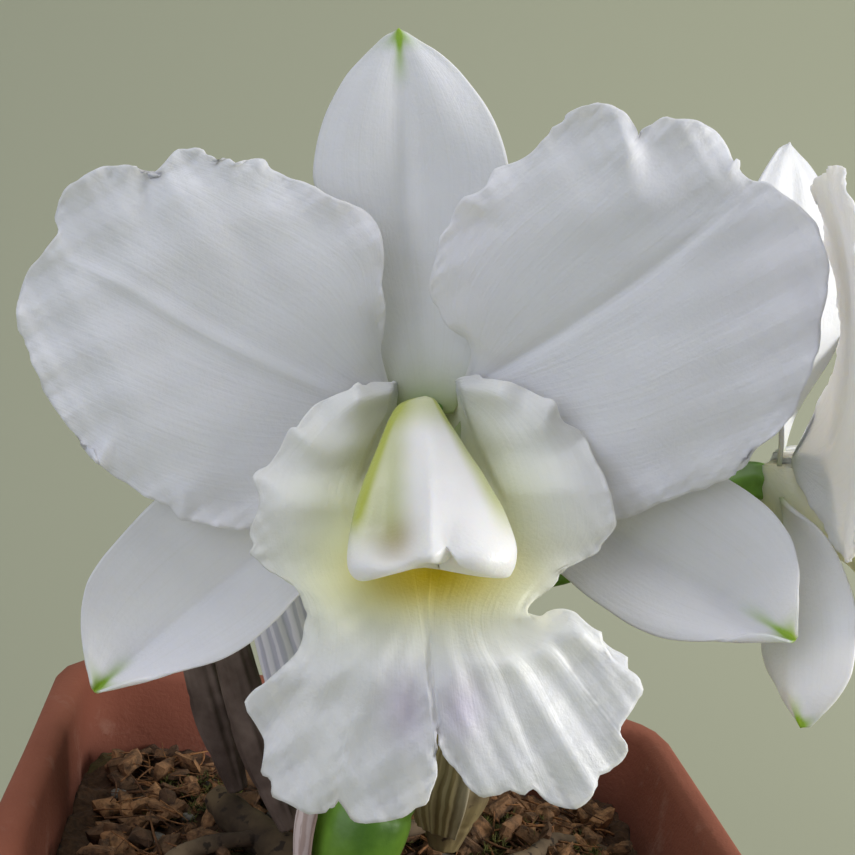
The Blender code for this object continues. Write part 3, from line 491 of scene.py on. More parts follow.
rightPetal = {
    "rib": [(4.5, 0.5), (11.3, 4.3), (19.1, 9.1), (26.8, 14.3), (34.6, 20.3), (43.0, 27.7)],
    "edgeOne": [
        (4.5, 1.0), (4.9, 1.8), (5.4, 2.6), (5.7, 3.6), (6.0, 4.9), (5.8, 6.2), (5.3, 7.3),
        (4.1, 8.0), (2.9, 8.9), (2.1, 10.1), (1.6, 11.4), (0.9, 12.2), (0.5, 13.5), (0.6, 14.9),
        (1.0, 16.5), (1.4, 17.9), (1.7, 19.4), (2.2, 20.9), (3.1, 21.9), (3.5, 22.9), (3.9, 24.0),
        (4.4, 24.9), (5.1, 25.7), (6.6, 26.2), (7.9, 27.1), (8.3, 28.0), (8.9, 29.2), (10.0, 29.7),
        (11.0, 30.0), (12.3, 30.5), (13.7, 31.4), (15.0, 32.7), (16.1, 33.8), (16.6, 34.7),
        (17.9, 35.5), (18.3, 36.4), (19.7, 37.2),
    ],
    "farOne": [
        (19.7, 37.2), (20.9, 37.5), (21.9, 37.8), (23.1, 37.8), (24.2, 37.6), (25.1, 37.1),
        (26.0, 36.6), (26.8, 35.5), (27.5, 34.3), (27.7, 33.3), (28.0, 34.2), (28.5, 34.7),
        (29.4, 35.1), (30.2, 35.7), (31.2, 36.1), (32.4, 35.8), (33.8, 35.8), (35.3, 35.6),
        (36.4, 35.0), (37.6, 34.3), (38.5, 33.3), (39.3, 32.0), (40.0, 30.3), (40.5, 30.7),
        (40.9, 30.2), (40.8, 29.2), (41.5, 28.4), (42.2, 27.9), (43.0, 27.7),
    ],
    "farTwo": [
        (43.0, 27.7), (44.1, 27.7), (45.2, 27.0), (46.5, 25.9), (48.0, 25.0), (49.1, 24.0),
        (50.2, 22.9), (50.9, 22.0), (51.3, 20.5), (51.8, 19.2), (52.2, 17.8), (52.4, 16.2),
        (52.2, 14.5), (52.1, 12.8), (51.7, 11.1), (51.3, 9.7), (51.3, 8.0), (51.1, 6.1),
        (50.5, 4.7), (50.1, 3.1), (49.5, 1.7), (49.0, 0.5), (48.5, -0.9), (47.8, -2.5),
        (46.8, -3.5), (45.9, -4.5), (44.5, -5.7), (43.2, -6.7), (42.3, -7.8), (41.9, -8.8),
        (41.1, -9.6),
    ],
    "edgeTwo": [
        (4.5, -0.8), (5.2, -2.6), (6.5, -4.8), (8.7, -7.4), (11.0, -9.8), (13.6, -12.6),
        (16.2, -14.5), (19.1, -15.8), (22.0, -16.3), (25.3, -16.1), (27.9, -15.3), (30.5, -14.0),
        (32.7, -13.3), (34.3, -12.6), (36.3, -12.2), (37.7, -11.4), (39.3, -10.9), (40.2, -10.0),
        (41.1, -9.6),
    ],
    "depth": leftPetal["depth"],
    "waves": 0.9,
    "crimp": 0.3,
    "ridge": (-0.4, 1.2),
    "pleats": [
        ((25.4, 36.4), (27.8, 22.0), 1.5, 1.9), ((28.4, 34.4), (30.2, 24.0), -0.8, 1.6),
        ((4.8, 25.4), (9.6, 22.6), 0.9, 1.0), ((7.6, 23.0), (11.0, 20.4), -0.5, 1.0),
        ((40.2, 30.4), (38.6, 26.4), 0.6, 0.8),
    ],
}
# The side flower's near petal, whose upper edge is thrown back.
thrownPetal = dict(
    leftPetal,
    farOne=[
        (-28.8, 31.8), (-34.0, 31.6), (-38.8, 30.6), (-43.4, 28.8), (-46.9, 26.0), (-48.6, 22.6),
        (-49.2, 18.8),
    ],
    waves=0.5,
    pleats=[],
    depth=[
        (-7.8, -7.8, -7.8, -7.8, -7.8),
        (-3.2, -2.8, -3.0, -4.0, -5.0),
        (-0.6, -0.4, -0.6, -1.4, -2.0),
        (-1.2, 0.6, 0.6, 0.6, -0.6),
        (-2.6, 0.2, 1.2, 1.6, 0.2),
        (-3.8, -1.2, 0.6, 1.0, 0.2),
    ],
)
# The lip: two side lobes stand up beside the column, and the broad middle lobe is cleft.
# edgeOneRows and edgeTwoRows name the edge points that the rows of depth stand on.
lipBlade = {
    "rib": [
        (0.3, -0.4), (0.3, -3.9), (0.3, -8.4), (0.3, -13.6), (0.4, -18.8), (0.4, -22.9),
        (0.4, -26.3), (0.6, -30.5), (1.0, -36.3), (1.7, -43.2),
    ],
    "edgeOne": [
        (-3.0, 1.4), (-3.8, 1.7), (-5.3, 1.7), (-6.9, 1.7), (-7.9, 1.2), (-8.8, 1.7), (-9.7, 0.8),
        (-11.0, 0.3), (-12.6, -0.4), (-14.3, -1.3), (-15.8, -2.9), (-16.6, -4.1), (-17.4, -4.2),
        (-18.0, -5.1), (-18.7, -6.7), (-19.6, -8.2), (-20.5, -9.2), (-21.6, -9.7), (-22.3, -10.5),
        (-22.0, -11.9), (-21.5, -13.3), (-21.8, -15.2), (-22.6, -17.1), (-22.7, -18.3),
        (-22.2, -19.4), (-22.8, -20.5), (-21.8, -21.3), (-20.9, -22.2), (-19.2, -23.2),
        (-17.5, -24.2), (-16.3, -25.8), (-15.7, -27.5), (-15.3, -28.4), (-15.7, -29.8),
        (-15.9, -31.5), (-16.6, -33.2), (-17.8, -34.5), (-19.3, -35.9), (-21.1, -37.5),
        (-22.4, -38.5), (-23.3, -39.8),
    ],
    "edgeOneRows": (0, 7, 12, 18, 22, 27, 30, 34, 37, 40),
    "keep": 2,
    "farOne": [
        (-23.3, -39.8), (-23.1, -41.0), (-22.4, -42.0), (-21.6, -43.3), (-20.9, -44.7),
        (-20.9, -46.1), (-21.1, -47.7), (-21.3, -49.1), (-20.3, -49.6), (-19.9, -50.4),
        (-20.0, -51.3), (-19.7, -52.2), (-18.8, -52.5), (-17.5, -53.1), (-16.1, -53.9),
        (-15.0, -54.4), (-13.9, -54.2), (-13.0, -54.2), (-12.3, -53.3), (-11.8, -53.7),
        (-11.5, -52.4), (-11.0, -52.9), (-10.4, -53.7), (-9.8, -54.7), (-9.2, -55.3),
        (-7.9, -55.5), (-6.4, -55.4), (-4.8, -55.2), (-3.2, -54.8), (-2.1, -54.2), (-1.2, -53.5),
        (-0.1, -53.1), (0.6, -51.8), (1.3, -50.2), (1.6, -48.5), (1.4, -46.7), (1.4, -45.0),
        (1.7, -43.2),
    ],
    "farTwo": [
        (1.7, -43.2), (1.8, -44.8), (2.3, -46.5), (3.1, -47.7), (4.1, -48.6), (4.8, -49.6),
        (5.6, -50.8), (6.5, -51.6), (7.4, -52.2), (8.4, -52.0), (9.7, -51.8), (10.4, -51.4),
        (11.1, -51.2), (11.9, -51.6), (12.8, -51.9), (13.5, -51.3), (14.0, -51.0), (14.6, -51.3),
        (15.3, -52.1), (16.2, -52.9), (17.2, -53.3), (18.3, -53.5), (19.4, -53.7), (20.3, -53.3),
        (21.1, -52.7), (21.6, -52.0), (22.0, -51.2), (22.4, -50.5), (22.4, -49.7), (22.8, -49.1),
        (23.6, -49.0), (24.4, -48.3), (25.3, -47.7), (26.0, -46.8), (26.3, -45.9), (26.0, -45.0),
        (25.4, -44.1), (25.3, -43.3), (25.7, -42.5), (26.3, -41.6), (27.0, -40.6), (27.6, -39.5),
        (28.3, -38.5), (28.1, -37.5), (27.7, -36.5), (27.0, -36.0), (26.3, -35.4), (26.3, -34.0),
    ],
    "edgeTwo": [
        (3.5, 1.6), (4.1, 2.1), (4.9, 2.4), (5.8, 2.5), (6.9, 2.7), (7.5, 2.2), (8.7, 2.1),
        (9.8, 1.9), (11.1, 1.7), (12.4, 1.1), (13.7, 0.5), (15.3, -0.3), (16.5, -0.5),
        (17.1, -1.3), (17.5, -2.7), (18.1, -3.6), (19.2, -4.1), (20.2, -4.7), (21.0, -5.8),
        (21.5, -7.1), (22.2, -8.6), (23.1, -10.1), (23.7, -11.7), (24.2, -13.2), (24.5, -14.9),
        (24.8, -16.7), (24.1, -18.0), (22.8, -19.3), (22.6, -20.2), (21.0, -21.1), (19.3, -22.0),
        (17.6, -22.9), (17.1, -24.2), (15.8, -25.4), (14.5, -26.4), (12.4, -27.6), (13.6, -28.3),
        (15.0, -28.6), (15.9, -28.0), (17.0, -27.7), (18.1, -27.7), (19.4, -28.1), (20.3, -28.9),
        (21.3, -29.8), (22.2, -30.4), (22.9, -30.7), (23.1, -31.8), (24.2, -32.8), (25.4, -33.4),
        (26.3, -34.0),
    ],
    "edgeTwoRows": (0, 8, 14, 21, 25, 29, 35, 39, 42, 49),
    "depth": [
        (-4.5, -5.0, -5.5, -5.8, -6.0, -5.8, -5.5, -5.0, -4.5),
        (3.5, 3.4, -1.0, -5.4, -6.5, -5.4, -1.0, 3.4, 3.5),
        (5.0, 6.0, 4.0, -2.5, -4.5, -2.5, 4.0, 6.0, 5.0),
        (5.5, 7.0, 5.0, 0.5, -1.0, 0.5, 5.0, 7.0, 5.5),
        (5.0, 7.0, 6.0, 3.8, 3.0, 3.8, 6.0, 7.0, 5.0),
        (5.5, 7.0, 7.6, 7.8, 7.8, 7.8, 7.6, 7.0, 5.5),
        (9.5, 10.6, 11.2, 11.8, 11.8, 11.8, 11.2, 10.6, 9.5),
        (13.0, 14.4, 15.2, 15.8, 15.4, 15.8, 15.2, 14.4, 13.0),
        (14.5, 16.6, 18.0, 19.0, 18.4, 19.0, 18.0, 16.6, 14.5),
        (14.0, 16.0, 17.5, 19.4, 19.8, 19.4, 17.5, 16.0, 14.0),
    ],
    "waves": 0.6,
    "crimp": 0.3,
    "ridge": (-0.35, 2.2),
    "pleats": [
        ((-8.8, 1.6), (-7.6, -4.6), 1.9, 1.5),
        ((-17.3, -4.3), (-12.4, -8.6), 1.9, 1.4),
        ((-22.2, -10.4), (-16.4, -13.4), 1.7, 1.7),
        ((-13.6, -1.6), (-11.2, -7.0), -1.3, 1.8),
        ((-20.4, -7.6), (-15.6, -11.4), -1.2, 1.5),
        ((-22.2, -20.0), (-17.6, -19.6), 0.8, 1.4),
        ((9.3, 1.8), (10.0, -2.8), 1.1, 1.6),
        ((16.6, -1.2), (14.6, -6.0), 2.0, 1.6),
        ((13.0, 0.2), (12.2, -5.0), -1.2, 1.6),
        ((20.6, -5.4), (16.4, -7.4), -1.5, 1.5),
        ((25.0, -16.6), (20.6, -17.6), 0.7, 2.0),
    ],
    # the side lobes' free inner edges beside the column, how far the throat lies behind them
    "ledges": [
        ([(-3.7, 2.0), (-5.0, -2.4), (-6.9, -5.8), (-8.2, -9.0), (-9.6, -13.0)], 1, 3.4),
        ([(4.1, 2.4), (5.4, -2.0), (7.2, -6.6), (9.3, -11.0), (11.2, -15.0)], -1, 3.0),
    ],
    # soft pleats that spread from the throat: the point they spread from, how many and how high
    "fan": ((0.8, -20.0), 13, 0.32),
}

# How a blade lies: its wall, how near its margin the fine outline starts, from which share of its length the
# outer margin pulls at it, how steeply its waves grow towards the margin, and how its wall thins there.
bladeLie = {
    "thick": 0.7, "fineReach": 0.84, "fineAlong": 0.94, "pullFrom": 0.4, "waveRise": 5, "crimpRise": 9,
    "thinner": 0.6,
}


def bladePoints(blade, along, side):
    # places on the face plane, how far each stands forward, and how near each is to the margin
    reach = np.abs(side)[:, None]
    left = side[:, None] < 0

    def outline(kind, shares, curve, *more):
        # the outline of each half by the curve that is asked for
        halves = [curve(blade[kind + half], share, blade.get(kind + half + "Rows"), *more)
                  for half, share in zip(("One", "Two"), shares)]
        return np.where(left, *halves)

    plain = outline("edge", (along, along), plainCurve)
    fine = outline("edge", (along, along), evenCurve)
    edge = plain + (fine - plain) * ease(reach, bladeLie["fineReach"], 1.0)
    rib = smoothCurve(blade["rib"], along)
    flat = rib * (1 - reach) + edge * reach
    tip = np.asarray(blade["rib"][-1])
    corner = np.where(left, blade["edgeOne"][-1], blade["edgeTwo"][-1])
    plain = outline("far", (side + 1, side), plainCurve, blade.get("keep", 4))
    fine = outline("far", (side + 1, side), evenCurve)
    pull = np.clip((along - bladeLie["pullFrom"]) / (1 - bladeLie["pullFrom"]), 0, 1)[:, None] ** 2
    pulled = pull * (plain - tip * (1 - reach) - corner * reach)
    flat = flat + pulled
    run = tip - np.asarray(blade["rib"][0])
    level = np.clip(along + (pulled @ run) / (run @ run), 0, 1)  # how far along the rib the place now lies
    flat = flat + ease(along, bladeLie["fineAlong"], 1.0)[:, None] * (fine - plain)
    margin = np.maximum(np.abs(side), along) * np.clip(along * 5, 0, 1)
    x, y = flat[:, 0], flat[:, 1]
    depth = tableValue(blade["depth"], level, (side + 1) / 2)
    roll = 0.6 * np.sin(0.62 * x + 0.35 * y) + 0.4 * np.sin(0.31 * x - 0.83 * y + 1.3)
    depth = depth + blade["waves"] * margin ** bladeLie["waveRise"] * roll
    depth = depth + blade["crimp"] * margin ** bladeLie["crimpRise"] * ripple(2.3 * x, 2.3 * y)
    height, width = blade["ridge"]
    apart = np.abs(side) * np.linalg.norm(edge - rib, axis=1)
    depth = depth + height * bell(apart, width) * ease(along, 0.02, 0.3) * (1 - ease(along, 0.8, 1.0))
    for start, end, height, width in blade["pleats"]:
        share, apart = fromLine(x, y, start, end)
        depth = depth + height * bell(apart, width) * (1 - share) ** 1.2
    for line, way, height in blade.get("ledges", []):
        lineX = np.interp(-y, [-point[1] for point in line], [point[0] for point in line])
        fade = ease(-y, -line[-1][1], -line[-1][1] - 6.0)
        depth = depth - height * fade * ease(way * (x - lineX), 0.0, 0.45)
    if "fan" in blade:
        (fanX, fanY), count, height = blade["fan"]
        angle = np.arctan2(x - fanX, fanY - y)
        far = ease(np.hypot(x - fanX, y - fanY), 7.0, 24.0) * ease(fanY - y, 1.0, 9.0)
        folds = np.sin(count * angle + 0.8) + 0.55 * np.sin(2.3 * count * angle + 2.0) + 0.3 * ripple(x, y)
        depth = depth + height * far * folds
    return flat, depth, margin


def sighted(flat, depth):
    # places that lie at a depth before the face plane and are seen from the eye at their flat places
    sight = 1 - depth / eye[2]
    x = eye[0] + (flat[:, 0] - eye[0]) * sight
    y = eye[1] + (flat[:, 1] - eye[1]) * sight
    return np.stack([x, y, depth], -1)


def spun(points, axis, degrees):
    angle = np.radians(np.broadcast_to(degrees, len(points)))[:, None]
    alongAxis = axis * (points @ axis)[:, None]
    return points * np.cos(angle) + np.cross(axis, points) * np.sin(angle) + alongAxis * (1 - np.cos(angle))


def turned(points, blade, along, turn):
    # a blade after its twist, lean, change of size and swing in the flower
    swing, lean, twist, size = turn
    facing = np.array([0.0, 0.0, 1.0])
    base = np.array([*blade["rib"][0], blade["depth"][0][0]])
    rib = np.array([*np.subtract(blade["rib"][-1], blade["rib"][0]), 0.0])
    rib = rib / np.linalg.norm(rib)
    arm = spun((points - base) * size, rib, twist * ease(along, 0.04, 0.38))
    arm = spun(arm, np.cross(facing, rib), lean)
    return spun(arm + base, facing, swing)


# Tints: red is the throat's yellow, green the lime or the green tips, and blue a flush. On the column the
# green is partly painted shade, and the blue is a painted shadow.
def sepalTint(flat, along, side):
    # green at the tip and along the last of the midrib, and a green flush at the base
    tipGreen = ease(along, 0.90, 0.97) * bell(side, 0.75) + 0.8 * ease(along, 0.78, 0.93) * bell(side, 0.13)
    return np.stack([along * 0, tipGreen, bell(along, 0.1)], -1)


def petalTint(flat, along, side):
    return np.stack([along * 0, along * 0, 0.6 * bell(along, 0.06)], -1)


def lipTint(flat, along, side):
    # yellow throat, lime round it and up the side lobes, and a lilac flush before the cleft
    x, y = flat[:, 0], flat[:, 1]
    yellow = bell(y + 23.2, 4.2) * bell(x - 1.0, 9.5)
    lime = bell(y + 25.0, 7.5) * bell(x + 1.0, 17.0) * 0.75
    lobes = 0.45 * bell(np.hypot(np.abs(x) - 11.0, (y + 17.0) / 1.5), 8.0)
    walls = 0.8 * bell(side, 0.42) * (1 - ease(along, 0.30, 0.62))
    lilac = 0.55 * bell(np.abs(x - 1.0) - 3.6, 3.6) * bell(y + 40.6, 5.2)
    return np.stack([yellow, lime + lobes + walls, lilac], -1)


# Petal tissue: soft white with a crystalline surface, fine long veins and light passing through it.
def tissue(name, base, green, flushAndShadow, yellow, veins, veinDepth, roughness):
    made, tree, shader = newMaterial(
        name, base, roughness, Subsurface_Weight=0.5, Subsurface_Scale=0.0034, Sheen_Weight=0.1
    )
    shader.inputs["Subsurface Radius"].default_value = (1.0, 0.85, 0.6)
    parts, place = tintParts(tree), objectPlace(tree)
    long = addNode(
        tree, "ShaderNodeVectorMath", {"operation": "MULTIPLY"}, {1: (veins, 2.2, 1.0)}, {0: mapPlace(tree)}
    )
    wave = addNoise(tree, long.outputs["Vector"], 1.0, 3.0, Roughness=0.55, Distortion=0.25)
    cloud = addNoise(tree, place, 90.0, 3.0)
    grain = addNoise(tree, place, 2200.0, 2.0)
    body = addMix(tree, addRange(tree, cloud, 0.35, 0.7, 0.35), base, "E4E1E6")
    body = addMix(tree, addRange(tree, wave, 0.5, 0.75, 0.14), body, "D8D6CC")
    # blue tints a flush on the petals, sepals and lip, and a painted shadow on the column
    for channel, colour in (("Blue", flushAndShadow), ("Green", green), ("Red", yellow)):
        body = addMix(tree, parts[channel], body, colour)
    tree.links.new(body, shader.inputs["Base Color"])
    addRelief(tree, shader, (grain, 0.5, 0.12), (wave, 0.7, veinDepth), (cloud, 0.5, 0.9))
    return made


petalTissue = tissue("petal tissue", "F1F0F4", "6F9A1E", "C9CFA0", "E8D23A", 80, 0.13, 0.5)
sepalTissue = tissue("sepal tissue", "F1F0F3", "84B024", "A9B67A", "E8D23A", 50, 0.08, 0.48)
lipTissue = tissue("lip tissue", "F2F1EC", "DEE2AE", "BCAAD2", "E2C60C", 80, 0.12, 0.45)
# Column tissue: thicker and waxier than the petals, so it shines more. Its brown is a painted shadow, and its
# green is partly painted shade.
columnTissue = tissue("column tissue", "F6F5F2", "B4BC58", "A48E66", "D9C41E", 4, 0.02, 0.32)


def makeBlade(node, blade, cells, place, turn, tint, material, slot):
    def shape(along, side):
        flat, depth, margin = bladePoints(blade, along, side)
        points = sighted(flat, depth)
        if turn:
            points = turned(points, blade, along, turn)
        return points, np.clip(tint(flat, along, side), 0, 1), 1 - bladeLie["thinner"] * margin**8

    makeSheet(node + "_fine", node, cells, place, shape, material, slot, bladeLie["thick"])


# The column: left and right sides from its top to its underside, and how far its back and front stand out.
columnSet = {
    "left": [
        (0.0, -0.1), (-1.8, -0.5), (-3.5, -1.3), (-4.7, -3.1), (-5.8, -5.8), (-7.0, -8.7),
        (-8.2, -11.7), (-9.1, -14.5), (-9.7, -17.5), (-10.1, -20.3), (-10.0, -22.4), (-9.2, -23.7),
        (-7.9, -24.1), (-5.2, -23.5), (-2.6, -22.7), (0.4, -22.3),
    ],
    "right": [
        (0.0, -0.1), (1.2, -0.5), (2.1, -1.7), (3.1, -3.4), (4.4, -5.4), (5.8, -7.6), (7.3, -9.8),
        (8.7, -12.2), (10.1, -14.6), (11.1, -17.0), (11.8, -19.2), (11.9, -21.1), (11.4, -22.8),
        (10.4, -23.7), (6.9, -23.5), (1.9, -22.6),
    ],
    "back": [-3.6, -4.3, -4.4, -3.6, -2.0, -0.2, 2.3, 4.2, 6.2, 8.2, 10.0, 11.1, 11.8, 12.4, 13.2, 14.0],
    "front": [-3.6, -1.6, -0.1, 2.6, 5.6, 8.4, 11.5, 13.8, 16.3, 18.3, 19.6, 20.0, 19.6, 18.0, 16.0, 14.0],
    # its face: where each ridge or hollow starts and ends, its height at both ends and its width at both ends
    "forms": [
        ((-3.6, -6.0), (-4.9, -17.4), -0.9, -3.6, 2.3, 3.2),
        ((0.8, -2.4), (0.6, -20.6), 0.3, 1.3, 1.6, 1.6),
        ((-6.8, -21.6), (-4.4, -23.4), 0.8, 0.6, 2.2, 2.0),
        ((2.7, -16.0), (2.8, -20.4), -0.1, -0.8, 1.1, 0.9),
        ((7.6, -16.0), (7.4, -21.0), 0.5, 0.9, 3.2, 3.2),
    ],
    # how far the underside's margin rises, from the left side to the right
    "under": [
        (0.0, 0.0), (0.14, 0.6), (0.25, 1.1), (0.33, 1.7), (0.40, 2.0), (0.46, 1.7), (0.52, 2.1),
        (0.56, 3.4), (0.58, 3.4), (0.61, 1.6), (0.70, 0.7), (0.85, 0.1), (1.0, 0.0),
    ],
}


def makeColumn(name, node, cells, place):
    bm = bmesh.new()
    bm.loops.layers.uv.new("UVMap")
    tint = bm.verts.layers.float_color.new("tint")
    bmesh.ops.create_uvsphere(bm, u_segments=cells[0], v_segments=cells[1], radius=1.0, calc_uvs=True)
    ball = np.array([v.co for v in bm.verts])
    down = np.arccos(np.clip(ball[:, 2], -1, 1)) / math.pi
    turn = np.arctan2(ball[:, 1], ball[:, 0])
    across = (1 + np.cos(turn)) / 2
    left, right = smoothCurve(columnSet["left"], down), smoothCurve(columnSet["right"], down)
    x, y = (left + (right - left) * across[:, None]).T
    y = y + np.interp(across, *zip(*columnSet["under"])) * ease(down, 0.58, 0.80)
    back, front = smoothValues(columnSet["back"], down), smoothValues(columnSet["front"], down)
    face = np.sin(turn)
    depth = (back + front) / 2 + (front - back) / 2 * np.sign(face) * np.abs(face) ** 0.9
    for start, end, low, high, thin, wide in columnSet["forms"]:
        share, apart = fromLine(x, y, start, end)
        height = (low + (high - low) * share) * np.clip(face * 2, 0, 1)
        depth = depth + height * bell(apart, thin + (wide - thin) * share)
    # green: at the top it is the column's own, while on the left flank and along both sides it is partly its
    # own tint and partly painted shade
    green = 0.6 * ease(-x, 0.6, 4.6) * ease(y, -22.5, -15.0) + 0.6 * ease(y, -5.5, -1.0)
    rimGreenAndShade = 0.8 * ease(np.abs(across - 0.5), 0.36, 0.5) * ease(y, -20.0, -13.0)
    # brown: a painted shadow in the hollow on the column's left side, between its lower lobe and the anther
    brown = 0.8 * bell(np.hypot(x + 4.0, (y + 18.4) / 1.2), 2.3)
    points = sighted(np.stack([x, y], -1), depth)
    for vert, point, g, b in zip(bm.verts, points, np.clip(green + rimGreenAndShade, 0, 1), brown):
        vert.co = (place @ Vector(point)) * mm
        vert[tint] = (0.0, float(g), float(b), 1.0)
    if bm.calc_volume(signed=True) < 0:
        bmesh.ops.reverse_faces(bm, faces=bm.faces[:])
    newPiece(name, bm, columnTissue, "column_white", node)


# The two flowers: where each stands, how it faces, how its blades turn and how fine they are.
mainFlower = {
    "node": "main",
    "place": ((-12.5, -30.5, rim + 80.1), (-0.144, -0.972, 0.183), (-0.144, 0.204, 0.968)),
    "blades": {
        "dorsal_sepal": loweredSepal, "left_sepal": leftSepal, "right_sepal": rightSepal,
        "left_petal": leftPetal, "right_petal": rightPetal,
    },
    "turns": {},
    "whiteTips": (),
    "cells": {"sepal": (84, 60), "petal": (104, 112), "lip": (132, 140), "column": (96, 72)},
}
sideFlower = {
    "node": "side",
    "place": ((53.8, -17.8, rim + 77.3), (0.870, -0.413, 0.268), (-0.192, 0.209, 0.959)),
    "blades": dict(mainFlower["blades"], dorsal_sepal=dorsalSepal, left_petal=thrownPetal),
    # swing, lean and twist in degrees, and size
    "turns": {
        "dorsal_sepal": (5, 0, -34, 0.96), "left_sepal": (6, 1, -62, 0.66), "right_sepal": (0, 0, 0, 0.80),
        "left_petal": (-14, -2, 0, 0.98), "right_petal": (-5, 0, 0, 0.94),
    },
    "whiteTips": ("dorsal_sepal",),
    "cells": {"sepal": (64, 44), "petal": (80, 80), "lip": (96, 96), "column": (64, 48)},
}


def makeFlower(settings):
    place = standing(*settings["place"])
    name, cells = settings["node"], settings["cells"]
    for part, blade in settings["blades"].items():
        kind = part.split("_")[1]
        material = sepalTissue if kind == "sepal" else petalTissue
        tint = sepalTint if kind == "sepal" and part not in settings["whiteTips"] else petalTint
        turn = settings["turns"].get(part)
        makeBlade("%s_%s" % (name, part), blade, cells[kind], place, turn, tint, material, "petal_white")
    makeBlade(name + "_lip", lipBlade, cells["lip"], place, None, lipTint, lipTissue, "lip_white")
    makeColumn(name + "_column_fine", name + "_column", cells["column"], place)
    print(name, "flower made")


makeFlower(mainFlower)
makeFlower(sideFlower)

# Pseudobulbs: base, middle and tip of the axis, radii at base, widest and tip, and depth of the grooves.
foot = rim - 5.4
bulbs = {
    "pseudobulb_front": ((-12, -21, foot), (-9, -17, rim + 12), (-4, -8, rim + 40), (2.6, 7.3, 3.4), 0.03),
    "pseudobulb_silver": ((-6, 3, foot), (-17, 5, rim + 17), (-31, 9, rim + 50), (2.2, 4.2, 3.0), 0.04),
    "pseudobulb_back": ((1, 17, foot), (-8, 17, rim + 14), (-23, 16, rim + 48), (2.2, 5.4, 3.0), 0.05),
    "pseudobulb_old": ((10, 9, foot), (10, 11, rim + 5), (12, 15, rim + 22), (2.6, 6.4, 3.2), 0.10),
    "pseudobulb_brown_left": (
        (-26.5, 23, foot), (-34, 24, rim + 10), (-42, 26, rim + 34), (2.0, 4.0, 2.6), 0.16,
    ),
    "pseudobulb_brown_near": (
        (-17, 11, foot), (-27, 15, rim + 10), (-36, 18, rim + 36), (2.0, 3.8, 2.6), 0.16,
    ),
}


def bulbAxis(name, share):
    base, middle, tip = (np.array(p, float) for p in bulbs[name][:3])
    return base * (1 - share) + tip * share + (middle - (base + tip) / 2) * 2 * share * (1 - share)


def bulbRadii(name):
    low, wide, high = bulbs[name][3]
    return [low, (low + wide) / 2, wide, wide * 0.96, (wide + high) / 2, high]


def makeBulb(name, material, slot):
    depth = bulbs[name][4]

    def grooved(share, turn):
        # long grooves that wander, and a slight waist where the nodes are
        lines = np.cos(9 * turn + 2.2 * math.sin(5 * share)) + 0.6 * np.cos(14 * turn - 3 * share)
        waist = sum(bell(share - ring, 0.018) for ring in (0.22, 0.5, 0.78))
        return 1 - depth * (0.5 - 0.31 * lines) - 0.05 * waist

    bm = bmesh.new()
    route = [bulbAxis(name, share) for share in np.linspace(0, 1, 6)]
    addTube(bm, route, bulbRadii(name), 56, 64, grooved)
    newPiece(name + "_fine", bm, material, slot, name)


# Stem skin: living green, smooth and waxy, with fine long lines, and drier where it is old.
def stemSkin(name, light, dark, dry, dryShare, lines, lineDepth, roughness, coat):
    made, tree, shader = newMaterial(name, light, roughness, Coat_Weight=coat, Coat_Roughness=0.35)
    place = objectPlace(tree)
    wave = addBands(tree, lines, 2.5, 2.0)
    cloud = addNoise(tree, place, 120.0, 5.0)
    spots = addNoise(tree, place, 420.0, 4.0)
    body = addMix(tree, addRange(tree, cloud, 0.35, 0.65), light, dark)
    body = addMix(tree, addRange(tree, spots, 0.72 - dryShare, 0.78 - dryShare), body, dry)
    body = addMix(tree, addRange(tree, wave, 0.6, 1.0, 0.35), body, dark)
    tree.links.new(body, shader.inputs["Base Color"])
    addRelief(tree, shader, (wave, 0.7, lineDepth), (spots, 0.4, 0.3))
    return made


greenSkin = stemSkin("green stem skin", "76A636", "4E7A22", "8A8A3A", 0.02, 26, 0.10, 0.42, 0.1)
oldSkin = stemSkin("old stem skin", "94855A", "5E4E34", "4A3A2A", 0.08, 20, 0.5, 0.7, 0.0)
brownSkin = stemSkin("withered stem skin", "7C6C60", "4C3D33", "6B5A4C", 0.04, 16, 0.9, 0.85, 0.0)
bulbSkins = {"silver": greenSkin, "front": greenSkin, "back": greenSkin, "old": oldSkin}
for name in bulbs:
    skin = bulbSkins.get(name.split("_")[-1], brownSkin)
    makeBulb(name, skin, "green_stem" if skin == greenSkin else "old_stem")
print("pseudobulbs made")

# Papery sheaths: the pseudobulb, the ends along it, how far it stands off, the angle it leaves open, the side
# where it is open, its number of ribs and their height.
sheaths = {
    "sheath_front": ("pseudobulb_front", 0.10, 0.55, 1.6, 200, -45, 9, 0.35),
    "sheath_silver": ("pseudobulb_silver", 0.12, 0.94, 0.7, 40, 120, 9, 0.4),
    "sheath_old": ("pseudobulb_old", 0.15, 0.92, 0.7, 150, -10, 10, 0.3),
}


